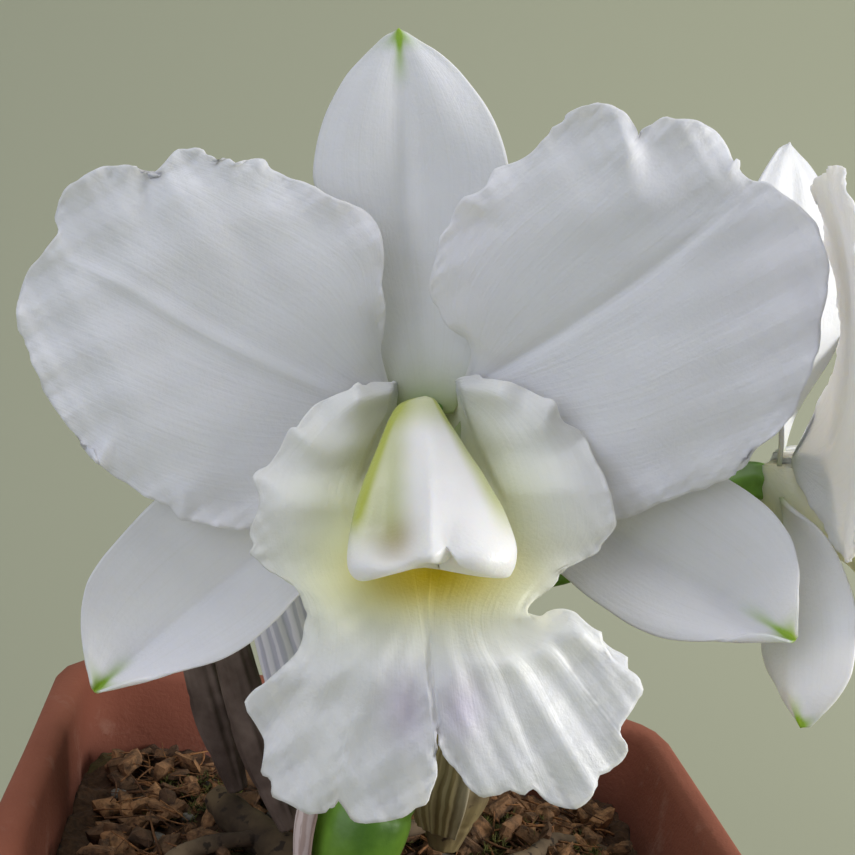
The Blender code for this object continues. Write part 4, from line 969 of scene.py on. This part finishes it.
def makeSheath(name, material, slot):
    bulb, low, high, off, opening, openSide, ribs, height = sheaths[name]
    axis = Vector(bulbAxis(bulb, 1.0) - bulbAxis(bulb, 0.0)).normalized()
    right = Vector((0, 1, 0)).cross(axis).normalized()
    ahead = axis.cross(right)

    def shape(along, side):
        half = math.radians((360 - opening) / 2)
        turn = np.radians(openSide + 180) + side * half
        torn = 1 + 0.05 * np.sin(3 * turn) * along - 0.10 * np.abs(side) ** 3 * along
        ragged = 0.035 * ripple(19 * side, 3.0) * ease(along, 0.8, 1.0)
        share = low + (high - low) * along * (torn + ragged)
        radius = smoothValues(bulbRadii(bulb), share) + off + 0.7
        radius = radius + height * (np.cos(ribs * math.pi * side + 1.5 * along) - 0.4)
        radius = radius + 0.5 * ease(along, 0.85, 1.0) + 0.4 * np.abs(side) ** 6
        centre = np.array([bulbAxis(bulb, s) for s in share])
        out = np.cos(turn)[:, None] * np.array(right) + np.sin(turn)[:, None] * np.array(ahead)
        edges = np.clip(ease(np.abs(side), 0.8, 1.0) + ease(along, 0.86, 1.0), 0, 1)
        return centre + out * radius[:, None], np.stack([edges, along, np.abs(side)], -1)

    bm = movedGrid((70, 120), shape)
    middle = Vector(bulbAxis(bulb, (low + high) / 2)) * mm
    bm.normal_update()
    if sum(f.normal.dot(f.calc_center_median() - middle) for f in bm.faces) < 0:
        bmesh.ops.reverse_faces(bm, faces=bm.faces[:])
    addWall(newPiece(name + "_fine", bm, material, slot, name), 0.45)


# Dry sheath: a dead papery skin with raised fibres, brown at its torn edges.
def sheathPaper(name, light, dark, edge, fibres, roughness):
    made, tree, shader = newMaterial(name, light, roughness, Sheen_Weight=0.1)
    parts, place = tintParts(tree), objectPlace(tree)
    wave = addBands(tree, fibres, 3.0, 3.0, 0.8)
    cloud = addNoise(tree, place, 160.0, 5.0)
    body = addMix(tree, addRange(tree, wave, 0.3, 0.7), dark, light)
    body = addMix(tree, addProduct(tree, parts["Red"], cloud), body, edge)
    tree.links.new(body, shader.inputs["Base Color"])
    addRelief(tree, shader, (wave, 0.7, 0.12))
    return made


silverPaper = sheathPaper("silver sheath paper", "F6F6FD", "CFD1DE", "7E7168", 16, 0.5)
palePaper = sheathPaper("pale sheath paper", "E2D3CC", "C2ADA3", "6B4E3C", 16, 0.6)
tanPaper = sheathPaper("tan sheath paper", "A89A6C", "857649", "D9CFB4", 18, 0.65)
makeSheath("sheath_front", palePaper, "sheath_pale")
makeSheath("sheath_silver", silverPaper, "sheath_silver")
makeSheath("sheath_old", tanPaper, "sheath_pale")
print("sheaths made")

# Leaves: base, tip, the way the upper side faces, and width.
leaves = {
    "leaf_right": ((-2.0, -2.2, rim + 42.5), (36, 31, rim + 108), (-0.45, -0.75, 0.50), 31.0),
    "leaf_left": ((-32.5, 10.5, rim + 53), (-50, 38, rim + 98), (0.20, -0.80, 0.55), 27.0),
    "leaf_back": ((-23.8, 17.5, rim + 51.5), (-12, 56, rim + 108), (0.05, -0.82, 0.57), 30.0),
}
# fold: how steeply the halves rise from the midrib; arch: its rise along the leaf; keel: the midrib's furrow
leafForm = {"thick": 1.6, "fold": 0.20, "arch": 0.05, "keel": 0.5, "keelWidth": 0.9, "thinner": 0.45}


def makeLeaf(name, material):
    base, tip, facing, width = leaves[name]
    span = Vector(tip) - Vector(base)

    def shape(along, side):
        half = width / 2 * np.clip(np.sin(math.pi * (0.03 + 0.93 * along)), 0, 1) ** 0.8
        middle = bell(side * half, leafForm["keelWidth"])
        height = leafForm["fold"] * np.abs(side) * half + leafForm["arch"] * span.length * along * (1 - along)
        height = height - leafForm["keel"] * middle + 0.25 * np.sin(along * 19) * np.abs(side) ** 3
        points = np.stack([side * half, along * span.length, height], -1)
        tints = np.stack([middle, along, np.abs(side)], -1)
        return points, tints, 1 - leafForm["thinner"] * np.abs(side) ** 6

    place = standing(base, facing, span)
    makeSheet(name + "_fine", name, (80, 40), place, shape, material, "leaf", leafForm["thick"])


# Leaf skin: thick and leathery, a waxy dark green with a pale midrib and fine parallel veins.
def leafSkin():
    made, tree, shader = newMaterial(
        "leathery leaf skin", "4A6B25", 0.42, Coat_Weight=0.2, Coat_Roughness=0.3
    )
    wave = addBands(tree, 30, 1.0, 2.0)
    body = addMix(tree, addNoise(tree, objectPlace(tree), 60.0, 6.0), "3B5A1E", "5E8030")
    body = addMix(tree, tintParts(tree)["Red"], body, "8FA856")
    tree.links.new(body, shader.inputs["Base Color"])
    addRelief(tree, shader, (wave, 0.3, 0.2))
    return made


leafGreen = leafSkin()
for name in leaves:
    makeLeaf(name, leafGreen)
print("leaves made")

# Flower stem: its route from the front pseudobulb, the pedicels' routes from the fork, and the bract.
stemSet = {
    "peduncle": [(-3.8, -7.4, rim + 42.0), (-4.4, -7.0, rim + 46), (-4.4, -6.0, rim + 51)],
    "peduncleRadius": 2.3,
    "main": [(-6.1, -5.2, rim + 53.4), (-7.6, -5.0, rim + 60.6), (-9.4, -6.4, rim + 69.0)],
    "side": [(-2.1, -5.9, rim + 53.4), (5, -8, rim + 51), (16, -10, rim + 53), (28, -11, rim + 63.6)],
    "start": 1.7,
    "radius": 2.0,
    "ovaryRadii": [3.0, 3.3, 2.7, 2.4],
    "ovaryDepths": (-16.5, -12.0, -8.2),
    "bract": ((-4.2, -5.6, rim + 52.6), (-0.80, -0.58, 0.1), (0.05, -0.2, 1.0)),
    "bractHalf": 4.2,
    "bractClear": 5.6,
    "bractFrom": -8,
    "bractLength": 12,
}


def ovaryRibs(share, turn):
    # three pairs of low ribs that come up as the pedicel swells
    return 1 + 0.07 * ease(share, 0.45, 0.8) * np.cos(6 * turn)


def makeStems():
    bm = bmesh.new()
    addTube(bm, stemSet["peduncle"], [stemSet["peduncleRadius"]] * 3, 24, 12)
    newPiece("peduncle_fine", bm, greenSkin, "green_stem", "peduncle")
    for settings in (mainFlower, sideFlower):
        place = standing(*settings["place"])
        route = stemSet[settings["node"]]
        knob = [tuple(place @ Vector((0, -2.5, depth))) for depth in stemSet["ovaryDepths"]]
        radii = [stemSet["start"]] + [stemSet["radius"]] * (len(route) - 2) + stemSet["ovaryRadii"]
        bm = bmesh.new()
        addTube(bm, route + knob, radii, 40, 64, ovaryRibs)
        node = settings["node"] + "_pedicel"
        newPiece(node + "_fine", bm, greenSkin, "green_stem", node)


def makeBract():
    def shape(along, side):
        half = stemSet["bractHalf"] * (1 - along) ** 0.6 + 0.5
        turn = side * 1.1
        out = stemSet["bractClear"] + half * (np.cos(turn) - 1) + 1.5 * along**2
        level = stemSet["bractFrom"] + stemSet["bractLength"] * along
        points = np.stack([half * np.sin(turn), level, out], -1)
        edges = ease(np.maximum(np.abs(side), along), 0.8, 1.0)
        return points, np.stack([edges, along, np.abs(side)], -1), None

    place = standing(*stemSet["bract"])
    makeSheet("bract_fine", "bract", (24, 24), place, shape, palePaper, "sheath_pale", 0.6)


makeStems()
makeBract()
print("stems made")

# The pot: outer width at the rim and the base, wall, floor, corners, rounding and drain holes.
potSet = {
    "top": 130.0, "base": 92.0, "height": rim, "wall": 6.0, "floor": 7.0, "corner": 12.0, "round": 2.2,
    "drainRadius": 4.5, "drainOffset": 20.0, "sides": 128, "uneven": 0.18,
}


def potWidth(height):
    return potSet["base"] + (potSet["top"] - potSet["base"]) * height / potSet["height"]


def roundedSquare(width, corner, turn):
    # points of a square with rounded corners, in the directions that turn gives
    half = width / 2
    x, y = np.cos(turn), np.sin(turn)
    square = np.stack([x, y], -1) * (half / np.maximum(np.abs(x), np.abs(y)))[:, None]
    inner = np.clip(square, corner - half, half - corner)
    off = square - inner
    long = np.linalg.norm(off, axis=1)[:, None]
    return inner + np.where(long > 0, off / np.maximum(long, 1e-9), 0) * corner


def drainCutters():
    # four round cutters through the floor
    cutters = bpy.data.collections.new("drain holes")
    radius, offset = potSet["drainRadius"] * mm, potSet["drainOffset"] * mm
    for x, y in ((-1, -1), (-1, 1), (1, -1), (1, 1)):
        bm = bmesh.new()
        bmesh.ops.create_cone(
            bm, cap_ends=True, segments=32, radius1=radius, radius2=radius, depth=4 * potSet["floor"] * mm
        )
        bmesh.ops.translate(bm, verts=bm.verts[:], vec=(x * offset, y * offset, 0))
        data = bpy.data.meshes.new("drain")
        bm.to_mesh(data)
        bm.free()
        cutters.objects.link(bpy.data.objects.new("drain", data))
    return cutters


def makePot(material):
    wall, top, floor, soft = potSet["wall"], potSet["height"], potSet["floor"], potSet["round"]
    arc = np.linspace(0, math.pi / 2, 5)
    # the rim's outer rounding
    lip = [(soft * (1 - math.cos(a)), top - soft + soft * math.sin(a)) for a in arc]
    profile = [(18.0, 0.0), (1.0, 0.0), (0.0, 1.0)]  # how far in from the outer wall, and the height
    profile += [(0.0, h) for h in np.linspace(6, top - soft - 3, 26)]
    profile += lip + [(wall - inward, h) for inward, h in lip[::-1]]
    profile += [(wall, h) for h in np.linspace(top - soft - 3, floor + 4, 22)]
    profile += [(wall + 1.2, floor + 1.0), (wall + 4.0, floor), (wall + 20.0, floor)]
    turn = np.linspace(0, math.tau, potSet["sides"], endpoint=False) + math.pi / 4
    bm = bmesh.new()
    rings = extrudedRings(bm, potSet["sides"], len(profile) - 1)
    for (inward, height), ring in zip(profile, rings):
        flat = roundedSquare(potWidth(height) - 2 * inward, max(potSet["corner"] - inward * 0.6, 4.0), turn)
        # pressed clay is never quite straight
        uneven = potSet["uneven"] * ripple(flat[:, 0] * 0.11, flat[:, 1] * 0.11, height * 0.07)
        for vert, (x, y), lift in zip(ring, flat, uneven):
            vert.co = Vector((x + lift * x / 65, y + lift * y / 65, height)) * mm
    for ring in (rings[0], rings[-1]):
        bmesh.ops.contextual_create(bm, geom=ring)
    bmesh.ops.recalc_face_normals(bm, faces=bm.faces[:])
    made = newPiece("pot_fine", bm, material, "clay", "pot")
    cut = made.modifiers.new("drain", "BOOLEAN")
    cut.operation = "DIFFERENCE"
    cut.solver = "EXACT"
    cut.operand_type = "COLLECTION"
    cut.collection = drainCutters()
    data = bpy.data.meshes.new_from_object(made.evaluated_get(bpy.context.evaluated_depsgraph_get()))
    cutters = cut.collection
    made.modifiers.clear()
    made.data = data
    for tool in list(cutters.objects):
        bpy.data.objects.remove(tool, do_unlink=True)
    bpy.data.collections.remove(cutters)


# Terracotta: a matt baked clay with grit and lime bloom, darker below the rim.
def terracotta():
    made, tree, shader = newMaterial("terracotta", "8A4A36", 0.85)
    place = objectPlace(tree)
    cloud = addNoise(tree, place, 38.0, 8.0, Roughness=0.6)
    grit = addNoise(tree, place, 1400.0, 3.0)
    bloom = addNoise(tree, place, 85.0, 7.0, Roughness=0.7)
    axes = addNode(tree, "ShaderNodeSeparateXYZ", links={0: place})
    # darker from just below the rim downwards, inside and out, in clouded patches
    lowerDarkening = addNode(
        tree, "ShaderNodeMapRange", {"interpolation_type": "SMOOTHSTEP"},
        {"From Min": (rim - 4) * mm, "From Max": (rim - 20) * mm}, {"Value": axes.outputs["Z"]},
    )
    body = addMix(tree, cloud, "7C412E", "A0604A")
    body = addMix(tree, addProduct(tree, lowerDarkening.outputs["Result"], cloud), body, "4E2A20")
    body = addMix(tree, addRange(tree, bloom, 0.56, 0.72, 0.32), body, "B99584")
    tree.links.new(body, shader.inputs["Base Color"])
    addRelief(tree, shader, (grit, 0.5, 0.2), (bloom, 0.5, 0.8))
    return made


makePot(terracotta())
print("pot made")

# The mix: its level, how far it stays off the walls, its cells, and the seed of what lies on it.
mixSet = {"level": rim - 15.0, "gap": 0.3, "cells": 170, "seed": 11, "batch": 25}
# What lies on it: how many, how far from the walls and the stems, sizes, and how each of them lies.
chipSet = {
    "count": 780, "edge": 6.0, "clear": 3.4, "sizes": ((2.6, 8.5), (1.8, 4.6), (1.2, 3.2)),
    "pitch": 0.75, "roll": 0.6, "blocky": 0.85, "broken": 0.22, "lift": 3.6,
}
fibreSet = {
    "count": 1100, "edge": 7.0, "clear": 3.0, "length": (4, 12), "bend": 0.5, "rise": (-0.2, 0.55),
    "lift": (0.5, 4.0), "radius": (0.13, 0.34), "steps": 4,
}
tuftSet = {
    "count": 420, "edge": 5, "clear": 3.0, "patches": 16, "reach": 48, "spread": 5, "lift": (0.5, 2.5),
    "leaves": 9, "lean": (0.2, 1.3), "length": (1.2, 2.8), "leafWidth": 0.28, "leafDepth": 0.2, "apart": 0.5,
}
stoneSet = {
    "count": 70, "edge": 5.0, "clear": 3.0, "radius": (0.7, 2.0), "lift": 1.4, "worn": (0.9, 1.1),
    "stretch": ((0.7, 1.4), (0.7, 1.2), (0.5, 0.9)),
}


def mixHeight(x, y):
    swell = 1.4 * np.sin(0.13 * x + 0.6) * np.cos(0.11 * y) - 0.0004 * (x * x + y * y)
    return mixSet["level"] + swell + 1.1 * ripple(0.55 * x, 0.55 * y) + 0.5 * ripple(1.7 * x, 1.6 * y, 2.0)


def mixHalf(height):
    # half the width that the mix may fill at a height
    return potWidth(height) / 2 - potSet["wall"] - mixSet["gap"]


def makeMix(material):
    bm = bmesh.new()
    bmesh.ops.create_grid(bm, x_segments=mixSet["cells"], y_segments=mixSet["cells"], size=1.0)
    half = mixHalf(mixSet["level"])
    # past flat, the corners are drawn in to the pot's round ones
    flat = half - potSet["corner"] + potSet["wall"] * 0.6
    for vert in bm.verts:
        x, y = vert.co.x * half, vert.co.y * half
        over = Vector((max(abs(x) - flat, 0), max(abs(y) - flat, 0)))
        if min(over) > 0:
            over *= max(over) / over.length
        x = math.copysign(min(abs(x), flat) + over.x, x)
        y = math.copysign(min(abs(y), flat) + over.y, y)
        vert.co = Vector((x, y, float(mixHeight(x, y)))) * mm
    bottom = potSet["floor"] + mixSet["gap"]
    narrow = mixHalf(bottom) / half
    grown = bmesh.ops.extrude_edge_only(bm, edges=[e for e in bm.edges if e.is_boundary])["geom"]
    for vert in [g for g in grown if isinstance(g, bmesh.types.BMVert)]:
        vert.co = Vector((vert.co.x * narrow, vert.co.y * narrow, bottom * mm))
    bmesh.ops.holes_fill(bm, edges=[e for e in bm.edges if e.is_boundary], sides=0)
    bmesh.ops.recalc_face_normals(bm, faces=bm.faces[:])
    newPiece("potting_mix_fine", bm, material, "mix", "potting_mix")


def anyPlace(rng, settings):
    # a place on the mix, or None where a stem stands
    half = mixHalf(mixSet["level"]) - settings["edge"]
    x, y = rng.uniform(-half, half), rng.uniform(-half, half)
    return None if nearStem(x, y, settings["clear"]) else (x, y, float(mixHeight(x, y)))


def nearStem(x, y, clear):
    for base, middle, _, radii, _ in bulbs.values():
        for share in (0.0, 0.25, 0.5):
            px, py = (base[i] * (1 - share) + middle[i] * share for i in (0, 1))
            if math.hypot(x - px, y - py) < radii[0] + clear:
                return True
    return False


def anyShade(rng):
    return (rng.random(), rng.random(), rng.random(), 1.0)


def scattered(count, addOne):
    # many small bodies, added in batches, because a large mesh is slow to add to
    whole = bmesh.new()
    whole.verts.layers.float_color.new("tint")
    for start in range(0, count, mixSet["batch"]):
        part = bmesh.new()
        tint = part.verts.layers.float_color.new("tint")
        for _ in range(min(mixSet["batch"], count - start)):
            addOne(part, tint)
        bmesh.ops.recalc_face_normals(part, faces=part.faces[:])
        data = bpy.data.meshes.new("batch")
        part.to_mesh(data)
        part.free()
        whole.from_mesh(data)
        bpy.data.meshes.remove(data)
    return whole


def makeChips(material):
    # bark chips: blocky bits with broken corners that lie as they fell
    rng = random.Random(mixSet["seed"])

    def addOne(bm, tint):
        place = anyPlace(rng, chipSet)
        if not place:
            return
        x, y, z = place
        size = [rng.uniform(*limits) for limits in chipSet["sizes"]]
        turn = Matrix.Rotation(rng.uniform(0, math.tau), 3, "Z")
        turn = turn @ Matrix.Rotation(rng.gauss(0, chipSet["pitch"]), 3, "X")
        turn = turn @ Matrix.Rotation(rng.gauss(0, chipSet["roll"]), 3, "Y")
        shade = anyShade(rng)
        centre = Vector((x, y, z + rng.uniform(0.0, chipSet["lift"])))
        for vert in bmesh.ops.create_uvsphere(bm, u_segments=8, v_segments=5, radius=0.5)["verts"]:
            blocky = vert.co * (0.5 / max(abs(c) for c in vert.co)) ** chipSet["blocky"]
            broken = chipSet["broken"] * Vector([rng.uniform(-1, 1) for _ in range(3)])
            co = Vector([c * s for c, s in zip(blocky, size)]) + broken
            vert.co = (turn @ co + centre) * mm
            vert[tint] = shade

    newPiece("bark_chips", scattered(chipSet["count"], addOne), material, "mix").data.shade_flat()


def makeFibres(material):
    # fern fibres: stiff bent strands that lie among the chips
    rng = random.Random(mixSet["seed"] + 1)
    steps = fibreSet["steps"]

    def addOne(bm, tint):
        place = anyPlace(rng, fibreSet)
        if not place:
            return
        x, y, z = place
        heading, length = rng.uniform(0, math.tau), rng.uniform(*fibreSet["length"])
        bend = rng.uniform(-fibreSet["bend"], fibreSet["bend"])
        rise, lift, radius = (rng.uniform(*fibreSet[key]) for key in ("rise", "lift", "radius"))
        shade = anyShade(rng)
        face = bmesh.ops.create_circle(bm, segments=4, radius=1.0, cap_ends=True)["verts"][0].link_faces[0]
        for step in range(steps + 1):
            share = step / steps
            angle = heading + bend * share
            reach = length * (share - 0.5)
            climb = rise * length * (share - 0.4) * (1 - 0.4 * share)
            centre = Vector((x + math.cos(angle) * reach, y + math.sin(angle) * reach, z + lift + climb))
            side = Vector((-math.sin(angle), math.cos(angle), 0))
            for vert, out in zip(face.verts, (side, Vector((0, 0, 1)), -side, Vector((0, 0, -1)))):
                vert.co = (centre + out * radius * (1.1 - 0.7 * share)) * mm
                vert[tint] = shade
            if step < steps:
                grown = bmesh.ops.extrude_face_region(bm, geom=[face])["geom"]
                if step:
                    bmesh.ops.delete(bm, geom=[face], context="FACES_ONLY")
                face = next(g for g in grown if isinstance(g, bmesh.types.BMFace))

    newPiece("fern_fibres", scattered(fibreSet["count"], addOne), material, "mix")


def makeTufts(material):
    # moss: low cushions of short leaves, each a small star of blades
    rng = random.Random(mixSet["seed"] + 2)
    reach, spread = tuftSet["reach"], tuftSet["spread"]
    patches = [(rng.uniform(-reach, reach), rng.uniform(-reach, reach)) for _ in range(tuftSet["patches"])]
    half = mixHalf(mixSet["level"]) - tuftSet["edge"]

    def addOne(bm, tint):
        px, py = rng.choice(patches)
        x, y = px + rng.gauss(0, spread), py + rng.gauss(0, spread)
        if max(abs(x), abs(y)) > half or nearStem(x, y, tuftSet["clear"]):
            return
        z = float(mixHeight(x, y)) + rng.uniform(*tuftSet["lift"])
        shade = anyShade(rng)
        for _ in range(tuftSet["leaves"]):
            heading = rng.uniform(0, math.tau)
            lean, length = (rng.uniform(*tuftSet[key]) for key in ("lean", "length"))
            flat = math.sin(lean)
            out = Vector((math.cos(heading) * flat, math.sin(heading) * flat, math.cos(lean)))
            side = out.cross(Vector((0, 0, 1))).normalized() * tuftSet["leafWidth"]
            under = out.cross(side).normalized() * tuftSet["leafDepth"]
            root = Vector((x + rng.gauss(0, tuftSet["apart"]), y + rng.gauss(0, tuftSet["apart"]), z))
            cone = {"cap_ends": True, "segments": 3, "radius1": 1.0, "radius2": 0.0, "depth": 1.0}
            for vert in bmesh.ops.create_cone(bm, **cone)["verts"]:
                off = side * vert.co.x + under * vert.co.y
                vert.co = (root + out * (vert.co.z + 0.5) * length + off) * mm
                vert[tint] = shade

    newPiece("moss_tufts", scattered(tuftSet["count"], addOne), material, "mix")


def makeStones(material):
    # grit: small worn pebbles
    rng = random.Random(mixSet["seed"] + 3)

    def addOne(bm, tint):
        place = anyPlace(rng, stoneSet)
        if not place:
            return
        radius = rng.uniform(*stoneSet["radius"])
        stone = bmesh.ops.create_icosphere(bm, subdivisions=2, radius=radius)["verts"]
        stretch = [rng.uniform(*limits) for limits in stoneSet["stretch"]]
        shade = anyShade(rng)
        centre = Vector(place) + Vector((0, 0, stoneSet["lift"]))
        for vert in stone:
            co = Vector([c * s * rng.uniform(*stoneSet["worn"]) for c, s in zip(vert.co, stretch)])
            vert.co = (co + centre) * mm
            vert[tint] = shade

    newPiece("grit", scattered(stoneSet["count"], addOne), material, "mix")


# Mix pieces: dead plant stuff in many browns. tint gives each chip, strand or stone its own shade.
def litter(name, first, second, third, scale, depth, roughness):
    made, tree, shader = newMaterial(name, first, roughness)
    grain = addNoise(tree, objectPlace(tree), scale, 6.0, Roughness=0.65)
    body = addMix(tree, tintParts(tree)["Red"], first, second)
    body = addMix(tree, addRange(tree, grain, 0.42, 0.62, 0.8), body, third)
    tree.links.new(body, shader.inputs["Base Color"])
    addRelief(tree, shader, (grain, 0.8, depth))
    return made


# Damp fines between the chips: nearly black peat with brown and mossy green patches.
def mixSoil():
    made, tree, shader = newMaterial("bark mix", "2A1F16", 0.95)
    place = objectPlace(tree)
    lumps = addNode(tree, "ShaderNodeTexVoronoi", None, {"Scale": 330.0}, {"Vector": place})
    fine = addNoise(tree, place, 900.0, 6.0)
    moss = addNoise(tree, place, 70.0, 4.0)
    body = addMix(tree, fine, "1C140F", "5E4229")
    body = addMix(tree, addRange(tree, moss, 0.52, 0.64, 0.6), body, "4C4A22")
    tree.links.new(body, shader.inputs["Base Color"])
    addRelief(tree, shader, (lumps.outputs["Distance"], 1.0, 1.5), (fine, 0.8, 0.6))
    return made


makeMix(mixSoil())
makeChips(litter("bark chip", "B08258", "5C4430", "2A1E15", 420.0, 0.7, 0.9))
makeFibres(litter("fern fibre", "A87444", "5A3A22", "3A2618", 700.0, 0.2, 0.85))
makeTufts(litter("moss", "7A7A3A", "565A26", "3A3A1C", 900.0, 0.1, 0.9))
makeStones(litter("grit", "8E8A82", "5E584E", "3E3830", 500.0, 0.3, 0.8))
print("mix made")

# The rhizome and its roots: routes on the mix with their radii.
rootSet = {
    "level": rim - 10.4,
    "rhizome": [(-30, 28), (-26, 22), (-17, 11), (-6, 3), (-9, -9), (-12, -21), (-14, -29)],
    "rhizomeRadii": (2.4, 3.2, 3.4, 3.6, 3.4, 3.4, 2.2),
    "branches": [[(-6, 3), (3, 5), (10, 9), (18, 12)], [(-6, 3), (-3, 10), (1, 17), (4, 25)]],
    "branchRadii": (3.2, 3.2, 3.2, 2.0),
    "roots": [
        [(-12, -18), (-24, -24), (-33, -36), (-45, -40)],
        [(-12, -20), (-3, -31), (9, -35), (20, -46)],
        [(10, 8), (22, 2), (30, -10), (44, -16)],
        [(14, 10), (27, 16), (36, 28), (47, 30)],
        [(-20, 15), (-34, 8), (-42, -6), (-50, -12)],
        [(2, 20), (13, 28), (18, 40), (30, 47)],
    ],
    "rootHeights": (0.6, 0.4, -1.6, -4.0),
    "rootRadii": (1.3, 1.5, 1.3, 0.8),
}


def makeRhizome(material):
    level = rootSet["level"]

    def scaly(share, turn):
        return 1 + 0.04 * np.cos(5 * turn) + 0.06 * math.sin(60 * share)

    bm = bmesh.new()
    addTube(bm, [(x, y, level) for x, y in rootSet["rhizome"]], rootSet["rhizomeRadii"], 28, 96, scaly)
    for branch in rootSet["branches"]:
        addTube(bm, [(x, y, level) for x, y in branch], rootSet["branchRadii"], 28, 48, scaly)
    newPiece("rhizome_fine", bm, material, "rhizome", "rhizome")


def makeRoots(material):
    def uneven(share, turn):
        return 1 + 0.08 * np.sin(2 * turn + 40 * share)

    bm = bmesh.new()
    for route in rootSet["roots"]:
        lifted = [(x, y, rootSet["level"] + height) for (x, y), height in zip(route, rootSet["rootHeights"])]
        addTube(bm, lifted, rootSet["rootRadii"], 16, 72, uneven)
    newPiece("roots_fine", bm, material, "rhizome", "rhizome")


makeRhizome(stemSkin("rhizome skin", "6B5A40", "3E3122", "2E241A", 0.14, 12, 0.8, 0.9, 0.0))
# Root velamen: the spongy coat of an orchid's roots, browned by the mix.
makeRoots(stemSkin("root velamen", "7C6A52", "46382A", "2E241A", 0.16, 8, 0.6, 0.9, 0.0))
print("rhizome and roots made")

# The studio, in metres and watts: a pale sweep, a broad light from the upper right and two soft fills.
studio = {
    "floorColour": "A6A993", "half": 1.6, "back": 0.55, "radius": 0.35, "top": 1.6,
    "aim": (0.0, -0.02, 0.17),
    "lights": {
        "key": ((0.74, -0.20, 0.40), 0.40, 6.3, "FFFDFA"),
        "fill": ((-0.60, -0.55, 0.45), 0.8, 2.8, "EEF2FF"),
        "top": ((-0.1, -0.05, 0.95), 0.7, 2.6, "FFFFFF"),
    },
    "world": ("E4E8F0", 0.20),
}


# Studio card: plain and matt, with a grain that is just felt.
def studioCard():
    made, tree, shader = newMaterial("studio card", studio["floorColour"], 0.9)
    grain = addNode(tree, "ShaderNodeTexNoise", None, {"Scale": 300.0}, {"Vector": objectPlace(tree)})
    addRelief(tree, shader, (grain.outputs["Fac"], 0.05, 0.5))
    return made


def makeFloor():
    bm = bmesh.new()
    half, back, radius = studio["half"], studio["back"], studio["radius"]
    profile = [(-half, 0.0), (back - radius, 0.0)]
    bends = np.linspace(0.1, math.pi / 2, 14)
    profile += [(back - radius + radius * math.sin(a), radius - radius * math.cos(a)) for a in bends]
    profile += [(back, studio["top"])]
    verts = [bm.verts.new((-half, y, z)) for y, z in profile]
    edges = [bm.edges.new(pair) for pair in zip(verts, verts[1:])]
    grown = bmesh.ops.extrude_edge_only(bm, edges=edges)["geom"]
    across = [g for g in grown if isinstance(g, bmesh.types.BMVert)]
    bmesh.ops.translate(bm, verts=across, vec=(2 * half, 0, 0))
    bmesh.ops.recalc_face_normals(bm, faces=bm.faces[:])
    data = bpy.data.meshes.new("floor")
    bm.to_mesh(data)
    bm.free()
    data.materials.append(studioCard())
    data.shade_smooth()
    floor = bpy.data.objects.new("floor", data)
    scene.collection.objects.link(floor)


def addLight(name, place, size, energy, colour):
    data = bpy.data.lights.new(name, "AREA")
    data.shape = "DISK"
    data.size = size
    data.energy = energy
    data.color = linear(colour)[:3]
    made = bpy.data.objects.new(name, data)
    made.location = place
    aim = Vector(studio["aim"]) - Vector(place)
    made.rotation_euler = aim.to_track_quat("-Z", "Y").to_euler()
    scene.collection.objects.link(made)


makeFloor()
for name, settings in studio["lights"].items():
    addLight(name, *settings)
world = bpy.data.worlds.new("studio")
world.use_nodes = True
world.node_tree.nodes["Background"].inputs["Color"].default_value = linear(studio["world"][0])
world.node_tree.nodes["Background"].inputs["Strength"].default_value = studio["world"][1]
scene.world = world
scene.view_settings.view_transform = "Standard"
print("studio made")
